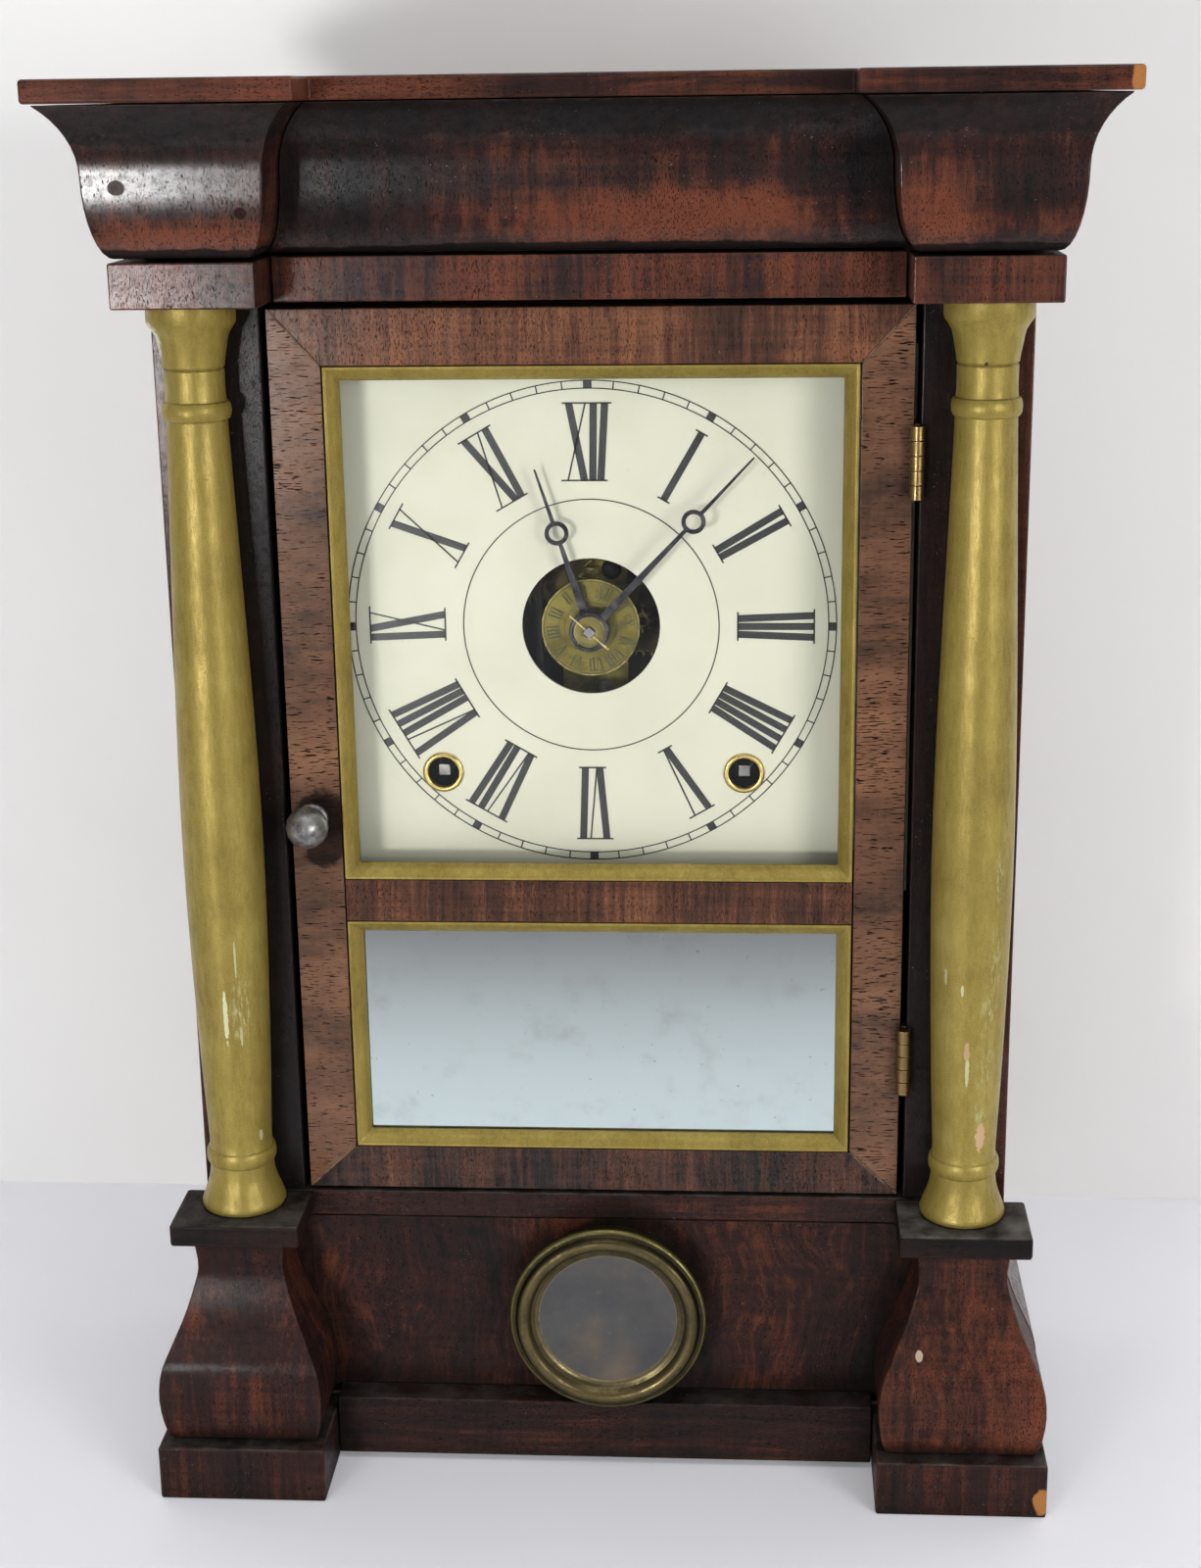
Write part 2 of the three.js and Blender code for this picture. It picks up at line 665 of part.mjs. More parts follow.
const minuteFront = 9.6;
const hourFront = 12.6;
const alarmFront = 15.6;
const squareHalf = 1.2;
add('minute_hand', hang(sheet(
  handShape(minuteHandLength, minuteRingAt, squareHole(squareHalf + jointGap)),
  minuteFront, minuteFront + handThickness, 8,
), minuteHandAngle), 'steel');
add('hour_hand', hang(sheet(
  handShape(hourHandLength, hourRingAt, hole(0, 0, pipeRadius + runningGap)),
  hourFront, hourFront + handThickness, 8,
), hourHandAngle), 'steel');
const alarmShape = new THREE.Shape();
alarmShape.absarc(dialOffset, dialHeight, alarmRadius, 0, Math.PI * 2, false);
alarmShape.holes.push(hole(dialOffset, dialHeight, pipeRadius + runningGap));
add('alarm_disc', sheet(alarmShape, alarmFront, alarmFront + 1.2, 16), 'brass');

// Motion work: straight-flanked teeth with room at tip and root.
function gearShape(teeth, phase, bore) {
  const pitchRadius = teeth * gearModule / 2;
  const tip = pitchRadius + 0.75 * gearModule;
  const root = pitchRadius - 1.1 * gearModule;
  const step = Math.PI * 2 / teeth;
  const points = [];
  for (let i = 0; i < teeth; i += 1) {
    const middle = phase + i * step;
    for (const [radius, offset] of [[root, -0.23], [tip, -0.09], [tip, 0.09], [root, 0.23]]) {
      const turn = middle + offset * step;
      points.push([radius * Math.cos(turn), radius * Math.sin(turn)]);
    }
  }
  const shape = outline(points);
  if (bore > 0) {
    shape.holes.push(hole(0, 0, bore));
  }
  return shape;
}

const pinionFront = 28;
const hourWheelFront = 25.2;
const minuteWheelX = dialOffset + gearDistance;
const studRadius = 1.2;
const half = (teeth) => Math.PI / teeth;
add('centre_arbor', join(
  rod(arborRadius, minuteFront + 2.2, rearPlate - 0.6, dialOffset, dialHeight),
  hang(
    box(-squareHalf, squareHalf, minuteFront - 1, minuteFront + 2.4, -squareHalf, squareHalf),
    minuteHandAngle,
  ),
  rod(studRadius, rearPlate - 0.8, rearPlate + plateThickness + 0.6, dialOffset, dialHeight),
  sheet(gearShape(cannonTeeth, 0, 0), pinionFront, pinionFront + 3).translate(dialOffset, 0, dialHeight),
), 'steel');
const pipeEnd = hourWheelFront + 1.4;
add('hour_wheel', join(
  sheet(gearShape(hourTeeth, half(hourTeeth), arborRadius + runningGap), hourWheelFront, pipeEnd)
    .translate(dialOffset, 0, dialHeight),
  cut(
    rod(pipeRadius, hourFront - 0.4, pipeEnd, dialOffset, dialHeight, 16),
    rod(arborRadius + runningGap, hourFront - 2, pipeEnd + 2, dialOffset, dialHeight),
  ),
), 'brass');
add('minute_wheel', cut(
  join(
    sheet(gearShape(minuteTeeth, Math.PI + half(minuteTeeth), 0), pinionFront + 0.8, pinionFront + 2.2)
      .translate(minuteWheelX, 0, dialHeight),
    sheet(gearShape(minutePinionTeeth, Math.PI, 0), hourWheelFront - 0.6, pinionFront + 1)
      .translate(minuteWheelX, 0, dialHeight),
  ),
  rod(studRadius + runningGap, pinionFront - 8, pinionFront + 8, minuteWheelX, dialHeight),
), 'brass');

// Winding arbors with ratchets, and the wound springs round them
function sawShape(teeth, radius, depth, lean, phase) {
  const step = Math.PI * 2 / teeth;
  const points = [];
  for (let i = 0; i < teeth; i += 1) {
    const turn = phase + i * step;
    points.push([radius * Math.cos(turn), radius * Math.sin(turn)]);
    const low = turn + lean * step;
    points.push([(radius - depth) * Math.cos(low), (radius - depth) * Math.sin(low)]);
  }
  return outline(points);
}

const keySquare = 1.6;
const keyFront = dialBack + 1.6;
const arborShoulder = 3;
const springHub = 6;
const springFront = plateBack + 4.5;
const springBack = rearPlate - 2.5;
for (const [word, x] of [['strike', leftWinding], ['time', rightWinding]]) {
  add(`${word}_winding_arbor`, join(
    rod(arborShoulder, plateStart - 3, rearPlate - 0.6, x, windingHeight),
    box(
      x - keySquare, x + keySquare, keyFront, plateStart - 2,
      windingHeight - keySquare, windingHeight + keySquare,
    ),
    rod(2, rearPlate - 0.8, rearPlate + plateThickness + 0.6, x, windingHeight),
    rod(springHub, plateBack + 2.5, springBack, x, windingHeight),
    sheet(sawShape(18, 13, 2, 0.25, 0), plateBack + 1, plateBack + 2.6).translate(x, 0, windingHeight),
  ), 'steel');
  add(`${word}_mainspring`, turned([
    [springHub + runningGap, springFront], [springRadius, springFront], [springRadius, springBack],
    [springHub + runningGap, springBack], [springHub + runningGap, springFront],
  ], 24, x, windingHeight), 'steel');
}

// Escapement: the verge straddles the wheel on a stud; its crutch holds the pendulum rod.
const escapeFront = 30;
const escapeBack = escapeFront + 1.2;
const toothStep = 360 / escapeTeeth;
const palletAngle = palletSpan * toothStep / 2;
const firstTooth = THREE.MathUtils.degToRad(90 - palletAngle - toothStep / 4);
add('escape_wheel', join(
  sheet(sawShape(escapeTeeth, escapeRadius, 3, -0.3, firstTooth), escapeFront, escapeBack)
    .translate(escapeX, 0, escapeZ),
  rod(1, escapeFront - 1, rearPlate + plateThickness + 0.6, escapeX, escapeZ),
), 'brass');
const palletTurn = THREE.MathUtils.degToRad(palletAngle);
const palletTip = escapeRadius + 0.3;
const tipX = palletTip * Math.sin(palletTurn);
const tipZ = palletTip * Math.cos(palletTurn);
const bowZ = escapeRadius + 3.4;
const rodY = 22;
const vergeHubFront = 26.4;
const crutchZ = escapeZ - 4;
const forkGap = 1.2;
function palletShape() {
  return outline([
    [-tipX - 0.3, tipZ], [-tipX + 0.3, tipZ + 0.1], [-tipX + 0.5, bowZ - 1.4], [0, vergeRise - 1.5],
    [tipX - 0.5, bowZ - 1.4], [tipX - 0.3, tipZ + 0.1], [tipX + 0.3, tipZ],
    [tipX + 0.7, bowZ - 0.2], [0, vergeRise + 1.5], [-tipX - 0.7, bowZ - 0.2],
  ]);
}
add('verge', cut(
  join(
    sheet(palletShape(), escapeFront, escapeBack).translate(escapeX, 0, escapeZ),
    rod(2.6, vergeHubFront, escapeBack, escapeX, vergeZ),
    box(escapeX - 0.6, escapeX + 0.6, vergeHubFront, vergeHubFront + 1.4, crutchZ, vergeZ),
    box(
      escapeX - forkGap - 1, escapeX + forkGap + 1, rodY + 1.6, vergeHubFront + 1.4,
      crutchZ, crutchZ + 1.4,
    ),
    box(escapeX - forkGap - 1, escapeX - forkGap, rodY - 1.6, rodY + 1.8, crutchZ, crutchZ + 1.4),
    box(escapeX + forkGap, escapeX + forkGap + 1, rodY - 1.6, rodY + 1.8, crutchZ, crutchZ + 1.4),
  ),
  rod(1 + runningGap, vergeHubFront - 5, escapeBack + 5, escapeX, vergeZ),
), 'steel');

// Pendulum: a strip hung in the slit of the post, the rod, and the bob below it
const slitHalf = 0.5;
const bobZ = suspensionZ - pendulumLength;
add('pendulum_rod', join(
  box(escapeX - 0.2, escapeX + 0.2, rodY - 1.8, rodY + 1.8, suspensionZ - 14, suspensionZ + 4),
  box(escapeX - 2.4, escapeX + 2.4, rodY - 1.2, rodY + 1.2, suspensionZ + 3.4, suspensionZ + 5.2),
  box(escapeX - 0.8, escapeX + 0.8, rodY - 0.8, rodY + 0.8, bobZ + bobRadius + jointGap, suspensionZ - 13),
), 'steel');
add('pendulum_bob', turned([
  [0, rodY - bobThickness / 2], [bobRadius * 0.45, rodY - bobThickness * 0.44],
  [bobRadius * 0.8, rodY - bobThickness * 0.27], [bobRadius, rodY - 0.8], [bobRadius, rodY + 0.8],
  [bobRadius * 0.8, rodY + bobThickness * 0.27], [bobRadius * 0.45, rodY + bobThickness * 0.44],
  [0, rodY + bobThickness / 2],
], 24, escapeX, bobZ), 'brass');

// Plates of the movement
const lowerPillar = [20, plateBottom - 7];
const upperPillar = [plateWidth / 2 - 8, plateTop - 7];
const pillars = [
  [dialOffset - lowerPillar[0], dialHeight - lowerPillar[1]],
  [dialOffset + lowerPillar[0], dialHeight - lowerPillar[1]],
  [dialOffset - upperPillar[0], dialHeight + upperPillar[1]],
  [dialOffset + upperPillar[0], dialHeight + upperPillar[1]],
];
const tenonRadius = 1.8;
function plateShape(holes) {
  const shape = outline([
    [dialOffset - plateWidth / 2, dialHeight - plateBottom],
    [dialOffset + plateWidth / 2, dialHeight - plateBottom],
    [dialOffset + plateWidth / 2, dialHeight + plateTop],
    [dialOffset - plateWidth / 2, dialHeight + plateTop],
  ]);
  holes.forEach(([x, z, radius]) => shape.holes.push(hole(x, z, radius + runningGap)));
  return shape;
}
const post = cut(
  box(escapeX - 3, escapeX + 3, rodY - 2.6, plateStart + 0.5, suspensionZ - 3, suspensionZ + 3),
  box(escapeX - slitHalf, escapeX + slitHalf, rodY - 2.2, rodY + 2.2, suspensionZ - 9, suspensionZ + 9),
);
add('movement_front_plate', join(
  sheet(plateShape([
    [dialOffset, dialHeight, arborRadius], [leftWinding, windingHeight, arborShoulder],
    [rightWinding, windingHeight, arborShoulder], [escapeX, escapeZ, 1], [hammerX, hammerZ, 1],
    ...pillars.map(([x, z]) => [x, z, tenonRadius]),
  ]), plateStart, plateBack, 6),
  rod(1, vergeHubFront - 1, plateStart + 0.5, escapeX, vergeZ),
  rod(studRadius, hourWheelFront - 1.2, plateStart + 0.5, minuteWheelX, dialHeight),
  post,
), 'brass');
add('movement_back_plate', join(
  sheet(plateShape([
    [dialOffset, dialHeight, studRadius], [leftWinding, windingHeight, 2], [rightWinding, windingHeight, 2],
    [escapeX, escapeZ, 1], [hammerX, hammerZ, 1],
  ]), rearPlate, rearPlate + plateThickness, 6),
  ...pillars.flatMap(([x, z]) => [
    rod(3, plateBack + jointGap, rearPlate + 0.5, x, z),
    rod(tenonRadius, plateStart - 1.5, plateBack + 1, x, z),
    rod(3, rearPlate + plateThickness - 0.5, backFront - jointGap, x, z),
  ]),
), 'brass');

// Strike: the hammer falls on the outer turn of the wire gong.
const gongY = rearPlate + 5.5;
const hammerDrop = hammerZ - gongHeight;
const hammerReach = gongOffset - gongRadius - gongWire - 1.4;
add('strike_hammer', join(
  rod(1, plateStart - 0.8, gongY + 1, hammerX, hammerZ),
  box(hammerX - 0.9, hammerX + 0.9, gongY - 0.9, gongY + 0.9, gongHeight - 2, hammerZ),
  new THREE.CylinderGeometry(4, 4, 11, 12)
    .rotateZ(Math.PI / 2)
    .translate(hammerReach - 5.5, gongY, gongHeight),
), 'brass');

class GongCurve extends THREE.Curve {
  getPoint(t, target = new THREE.Vector3()) {
    const turn = t * gongTurns * Math.PI * 2;
    const radius = 4 + (gongRadius - 4) * t;
    return target.set(
      gongOffset - radius * Math.cos(turn), gongY, gongHeight + radius * Math.sin(turn),
    );
  }
}
const gongLine = new GongCurve();
const gongSteps = gongTurns * 24;
const wire = new THREE.Shape();
wire.absarc(0, 0, gongWire, 0, Math.PI * 2, false);
const coil = new THREE.ExtrudeGeometry(wire, {
  steps: gongSteps, extrudePath: gongLine, bevelEnabled: false, curveSegments: 3,
});
let leastGap = Infinity;
for (let i = 0; i <= gongSteps; i += 1) {
  for (let j = i + 12; j <= gongSteps; j += 1) {
    const apart = gongLine.getPoint(i / gongSteps).distanceTo(gongLine.getPoint(j / gongSteps));
    leastGap = Math.min(leastGap, apart - 2 * gongWire);
  }
}
console.log(`gong: least gap between turns ${leastGap.toFixed(2)} mm`);
add('wire_gong', join(
  coil,
  rod(5, gongY - 2, backFront - 2, gongOffset, gongHeight),
  rod(13, backFront - 3.5, backFront - jointGap, gongOffset, gongHeight, 20),
), 'steel');

export default clock;
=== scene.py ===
import json
import math
import bmesh
import bpy
from mathutils import Matrix, Vector


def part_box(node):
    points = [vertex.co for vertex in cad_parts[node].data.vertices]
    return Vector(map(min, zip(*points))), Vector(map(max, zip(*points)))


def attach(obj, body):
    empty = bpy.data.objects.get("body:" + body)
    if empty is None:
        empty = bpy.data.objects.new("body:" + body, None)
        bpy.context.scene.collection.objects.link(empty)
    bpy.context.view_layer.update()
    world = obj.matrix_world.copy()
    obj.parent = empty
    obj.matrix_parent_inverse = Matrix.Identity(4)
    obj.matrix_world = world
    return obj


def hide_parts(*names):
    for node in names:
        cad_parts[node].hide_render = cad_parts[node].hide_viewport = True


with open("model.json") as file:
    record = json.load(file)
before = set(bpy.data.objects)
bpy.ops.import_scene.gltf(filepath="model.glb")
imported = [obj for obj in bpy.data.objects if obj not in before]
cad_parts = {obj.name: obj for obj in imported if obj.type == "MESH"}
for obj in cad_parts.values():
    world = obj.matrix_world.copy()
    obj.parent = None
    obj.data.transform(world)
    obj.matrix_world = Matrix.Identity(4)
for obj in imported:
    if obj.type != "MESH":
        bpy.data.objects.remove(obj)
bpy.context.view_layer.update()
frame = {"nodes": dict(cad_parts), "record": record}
cadNodes = frame["nodes"]
scene = bpy.context.scene
mm = 0.001
frontY = -21.55 * mm  # the plane of the case front in the row frame
print("clock frame loaded,", len(cadNodes), "solids")


# small helpers for node trees; owner is any socket, node or tree
def isSocket(value):
    return isinstance(value, bpy.types.NodeSocket)


def link(source, target):
    source.id_data.links.new(source, target)


def feed(value, target):
    if isSocket(value):
        link(value, target)
    else:
        target.default_value = value


def addNode(owner, kind, inputs=None, **settings):
    node = owner.id_data.nodes.new("ShaderNode" + kind)
    for name, value in settings.items():
        setattr(node, name, value)
    for name, value in (inputs or {}).items():
        feed(value, node.inputs[name])
    return node


def firstSocket(*values):
    return next(value for value in values if isSocket(value))


def calc(operation, a, b=0.0, clamp=False):
    node = addNode(firstSocket(a, b), "Math", {0: a, 1: b}, operation=operation, use_clamp=clamp)
    return node.outputs[0]


def times(a, b):
    return calc("MULTIPLY", a, b)


def plus(a, b, clamp=False):
    return calc("ADD", a, b, clamp)


def minus(a, b, clamp=False):
    return calc("SUBTRACT", a, b, clamp)


def most(a, b):
    return calc("MAXIMUM", a, b)


def calcVector(operation, a, b=(0, 0, 0), output=0):
    return addNode(a, "VectorMath", {0: a, 1: b}, operation=operation).outputs[output]


def stretch(vector, scale):
    return calcVector("MULTIPLY", vector, scale)


def splitAxes(vector):
    return addNode(vector, "SeparateXYZ", {0: vector}).outputs


def remap(value, low, high, start=0.0, end=1.0):
    limits = {"Value": value, "From Min": low, "From Max": high, "To Min": start, "To Max": end}
    return addNode(value, "MapRange", limits, interpolation_type="SMOOTHSTEP").outputs[0]


def mixColour(amount, a, b, blend="MIX"):
    a, b = (value if isSocket(value) else (*value, 1) for value in (a, b))
    inputs = {0: amount, 6: a, 7: b}
    return addNode(firstSocket(amount, a, b), "Mix", inputs, data_type="RGBA", blend_type=blend).outputs[2]


def ramp(value, stops):
    node = addNode(value, "ValToRGB", {0: value})
    elements = node.color_ramp.elements
    while len(elements) < len(stops):
        elements.new(0.5)
    for element, (place, colour) in zip(elements, stops):
        element.position = place
        element.color = (*colour, 1)
    return node.outputs[0]


def noise(vector, scale, detail=3.0, roughness=0.55, output="Fac"):
    inputs = {"Vector": vector, "Scale": scale, "Detail": detail, "Roughness": roughness}
    return addNode(vector, "TexNoise", inputs).outputs[output]


def newGroup(name, outputs, **inputs):
    tree = bpy.data.node_groups.new(name, "ShaderNodeTree")
    for label, value in {"vector": (0, 0, 0), **inputs}.items():
        kind = "NodeSocketVector" if isinstance(value, tuple) else "NodeSocketFloat"
        tree.interface.new_socket(label, in_out="INPUT", socket_type=kind).default_value = value
    for label in outputs:
        tree.interface.new_socket(label, in_out="OUTPUT", socket_type="NodeSocketFloat")
    return tree, tree.nodes.new("NodeGroupInput").outputs, tree.nodes.new("NodeGroupOutput").inputs


def useGroup(group, place, **inputs):
    return addNode(place, "Group", {"vector": place, **inputs}, node_tree=group).outputs


# shared effects
def makeWoodGrain():
    tree, put, out = newGroup("woodGrain", ("cloud", "band", "streak", "pore", "height"), bands=55,
                              streaks=420, pores=3800, poreRun=0.26, warp=0.004, figure=14)
    swirl = noise(put["vector"], put["figure"], 2, output="Color")
    swirl = calcVector("SUBTRACT", swirl, (0.5, 0.5, 0.5))
    shift = addNode(tree, "VectorMath", {0: swirl, "Scale": put["warp"]}, operation="SCALE").outputs[0]
    place = calcVector("ADD", put["vector"], shift)
    drawn = stretch(place, (0.055, 1, 1))
    cloud = noise(stretch(place, (0.5, 1, 1)), 34, 5, 0.62)
    band = noise(drawn, put["bands"], 3)
    streak = noise(drawn, put["streaks"], 6, 0.7)
    across = noise(stretch(place, (1, 0.05, 0.05)), 520, 4, 0.65)
    streak = plus(times(streak, 0.74), times(across, 0.26))
    run = addNode(tree, "CombineXYZ", {0: put["poreRun"], 1: 1, 2: 1}).outputs[0]
    crowd = times(minus(cloud, 0.5), 0.3)  # pores stand in clusters
    pore = remap(plus(noise(stretch(place, run), put["pores"], 1), crowd), 0.605, 0.675)
    ripple = noise(stretch(place, (0.35, 1, 1)), 420, 6, 0.68)
    height = plus(minus(times(streak, 0.35), pore), times(ripple, 3))
    for source, target in zip((cloud, band, streak, pore, height), out):
        link(source, target)
    return tree


def makeEdgeWear():
    tree, put, out = newGroup("edgeWear", ["wear"], radius=0.0012, grain=260, amount=0.6)
    rounded = addNode(tree, "Bevel", {"Radius": put["radius"]}, samples=4).outputs[0]
    flat = addNode(tree, "NewGeometry").outputs["Normal"]
    edge = remap(calcVector("DOT_PRODUCT", rounded, flat, "Value"), 0.995, 0.88)
    broken = remap(noise(put["vector"], put["grain"], 4, 0.65), 0.42, 0.62)
    link(times(times(edge, broken), put["amount"]), out["wear"])
    return tree


def makeDust():
    tree, put, out = newGroup("restingDust", ["dust"], amount=0.5)
    up = splitAxes(addNode(tree, "NewGeometry").outputs["Normal"])[2]
    patchy = remap(noise(put["vector"], 90, 5, 0.6), 0.3, 0.75)
    link(times(times(remap(up, 0.35, 0.95), patchy), put["amount"]), out["dust"])
    return tree


def makeMark():
    tree, put, out = newGroup("mark", ["mark"], centre=(0, 0, 0), size=(0.01, 0.01, 0.01),
                              ragged=0.4, grain=200, soft=0.8)
    away = calcVector("DIVIDE", calcVector("SUBTRACT", put["vector"], put["centre"]), put["size"])
    torn = times(minus(noise(put["vector"], put["grain"], 4, 0.6), 0.5), put["ragged"])
    link(remap(plus(calcVector("LENGTH", away, output="Value"), torn), 1, put["soft"]), out["mark"])
    return tree


def makeCornerGrimeAndShade():
    # darkens where ambient occlusion finds other surfaces close by: painted shade in corners, hollows and
    # between parts, broken into patches like grime
    tree, put, out = newGroup("cornerGrimeAndShade", ["grime"], reach=0.012, amount=0.8)
    hidden = addNode(tree, "AmbientOcclusion", {"Distance": put["reach"]}, samples=6).outputs["AO"]
    patchy = remap(noise(put["vector"], 160, 4, 0.6), 0.25, 0.65, 0.45, 1)
    link(times(times(remap(hidden, 0.92, 0.35), patchy), put["amount"]), out["grime"])
    return tree


woodGrain = makeWoodGrain()
edgeWear = makeEdgeWear()
restingDust = makeDust()
markGroup = makeMark()
cornerGrimeAndShade = makeCornerGrimeAndShade()


def newMaterial(name):
    material = bpy.data.materials.new(name)
    material.use_nodes = True
    shader = material.node_tree.nodes["Principled BSDF"]
    return material, shader, addNode(shader, "TexCoord").outputs["Object"]


surfaceLabels = {
    "colour": "Base Color", "roughness": "Roughness", "metal": "Metallic", "coat": "Coat Weight",
    "coatRoughness": "Coat Roughness", "specular": "Specular IOR Level", "clear": "Transmission Weight",
    "ior": "IOR", "glow": "Emission Color", "glowStrength": "Emission Strength",
}


def setSurface(shader, **values):
    for name, value in values.items():
        feed((*value, 1) if isinstance(value, tuple) else value, shader.inputs[surfaceLabels[name]])


def setBump(shader, height, strength, distance):
    bump = addNode(shader, "Bump", {"Height": height, "Strength": strength, "Distance": distance})
    link(bump.outputs[0], shader.inputs["Normal"])


def setShader(amount, first, second):
    join = addNode(first, "MixShader", {0: amount, 1: first.outputs[0], 2: second.outputs[0]})
    link(join.outputs[0], first.id_data.nodes["Material Output"].inputs["Surface"])


def markAt(place, centre, size, ragged=0.4, grain=200, soft=0.8):
    return useGroup(markGroup, place, centre=centre, size=size, ragged=ragged, grain=grain, soft=soft)["mark"]


def layMark(place, under, colour, centre, size, amount=1, cover=None, **shape):
    patch = times(markAt(place, centre, size, **shape), amount)
    if cover:
        patch = times(patch, cover)
    return mixColour(patch, under, colour), patch


# rosewood veneer, one recipe with its own grain run, tones and marks for each piece
grainTurns = {"x": (0, 0, 0), "z": (0, math.pi / 2, 0)}
veneer = {
    "deep": [(0.006, 0.0048, 0.0048), (0.028, 0.0106, 0.008), (0.135, 0.038, 0.018)],
    "warm": [(0.0105, 0.007, 0.006), (0.082, 0.032, 0.018), (0.24, 0.095, 0.044)],
    "brown": [(0.02, 0.013, 0.01), (0.13, 0.061, 0.033), (0.22, 0.105, 0.055)],
    "stain": [(0.0028, 0.0025, 0.0026), (0.007, 0.005, 0.0048), (0.026, 0.011, 0.008)],
    "pore": (0.0045, 0.003, 0.0026),
    "wornEdge": (0.14, 0.068, 0.036),
    "dustColour": (0.17, 0.155, 0.14),
    "grimeAndShadeColour": (0.0055, 0.005, 0.0038),
    "glint": (0.36, 0.34, 0.32),
    "grime": 0.9,
    "glints": 0.3,
    "coat": 0.63,
    "coatRoughness": 0.195,
    "roughness": 0.46,
    "specular": 0.08,
}


def rosewood(name, grain="z", tones="deep", lean=0, bands=55, streaks=420, warp=0.004, figure=14,
             pores=3800, poreRun=0.26, poreDepth=0.7, shift=(0, 0, 0), dust=0.25, wear=0.4, marks=(),
             share=(0.25, 0.44, 0.31), warmth=(), polish=1):
    material, shader, place = newMaterial(name)
    run = addNode(place, "Mapping", {"Vector": place, "Rotation": grainTurns[grain], "Location": shift})
    wood = useGroup(woodGrain, run.outputs[0], bands=bands, streaks=streaks, warp=warp, figure=figure,
                    pores=pores, poreRun=poreRun)
    tone = lean
    for part, weight in zip(("band", "streak", "cloud"), share):
        tone = plus(times(wood[part], weight), tone)
    for spot in warmth:
        tone = plus(tone, times(markAt(place, spot["centre"], spot["size"], 0.45, 150, 0), spot["rise"]))
    colour = ramp(tone, list(zip((0.39, 0.5, 0.625), veneer[tones])))
    colour = mixColour(times(wood["pore"], poreDepth), colour, veneer["pore"])
    rubbed = useGroup(edgeWear, place, amount=wear)["wear"]
    colour = mixColour(rubbed, colour, veneer["wornEdge"])
    dusty = useGroup(restingDust, place, amount=dust)["dust"]
    colour = mixColour(dusty, colour, veneer["dustColour"])
    # painted shade and grime in corners and between parts, from ambient occlusion
    grimeAndShadeMask = useGroup(cornerGrimeAndShade, place, amount=veneer["grime"])["grime"]
    colour = mixColour(grimeAndShadeMask, colour, veneer["grimeAndShadeColour"])
    # pale specks painted into the colour as glints, in clusters
    fleck = remap(noise(place, 1600, 1), 0.73, 0.76, 0, veneer["glints"])
    fleck = times(fleck, remap(noise(place, 70, 3), 0.48, 0.6))
    colour = mixColour(fleck, colour, veneer["glint"])
    scuffed = remap(noise(place, 420, 8, 0.8), 0.4, 0.64)
    rough = plus(times(wood["streak"], 0.2), veneer["roughness"] - 0.1)
    rough = plus(rough, times(scuffed, 0.16))
    bare = most(most(rubbed, dusty), most(wood["pore"], grimeAndShadeMask))
    for spot in marks:
        colour, patch = layMark(place, colour, **spot)
        bare = most(bare, patch)
    rough = plus(rough, times(bare, 0.4), clamp=True)
    varnish = veneer["coat"] * polish
    thin = minus(varnish, times(bare, varnish * 0.92), clamp=True)
    thin = times(thin, remap(scuffed, 0, 1, 1, 0.5))
    setSurface(shader, colour=colour, roughness=rough, coat=thin, coatRoughness=veneer["coatRoughness"],
               specular=veneer["specular"])
    setBump(shader, wood["height"], 0.6, 0.0003)
    return material


nailFill = (0.022, 0.01, 0.0075)
# near-black for the painted shade and grime in the cornice hollows
hollowShadeGrime = (0.0055, 0.0042, 0.004)
paleChip = (0.42, 0.33, 0.24)
orangeChip = (0.36, 0.15, 0.045)
knobStain = (0.006, 0.004, 0.0035)


# a soft patch that makes the wood's tone lighter or darker
def tonePatch(x, y, z, wide, tall, rise, deep=0.09):
    return {"centre": (x, y, z), "size": (wide, deep, tall), "rise": rise}


# dark bands painted in the hollow along the top and at the foot of a cornice piece: painted shade, with some
# grime
def hollowShadeBands(x, y, topZ, footTall):
    return [{"centre": (x, y, z), "size": (0.12, 0.09, tall), "colour": hollowShadeGrime, "amount": amount,
             "ragged": 0.9, "grain": 90}
            for z, tall, amount in ((topZ, 0.0085, 0.55), (0.3605, footTall, 0.9))]


def chip(centre, size, colour, ragged=0.4):
    return {"centre": centre, "size": size, "colour": colour, "ragged": ragged}


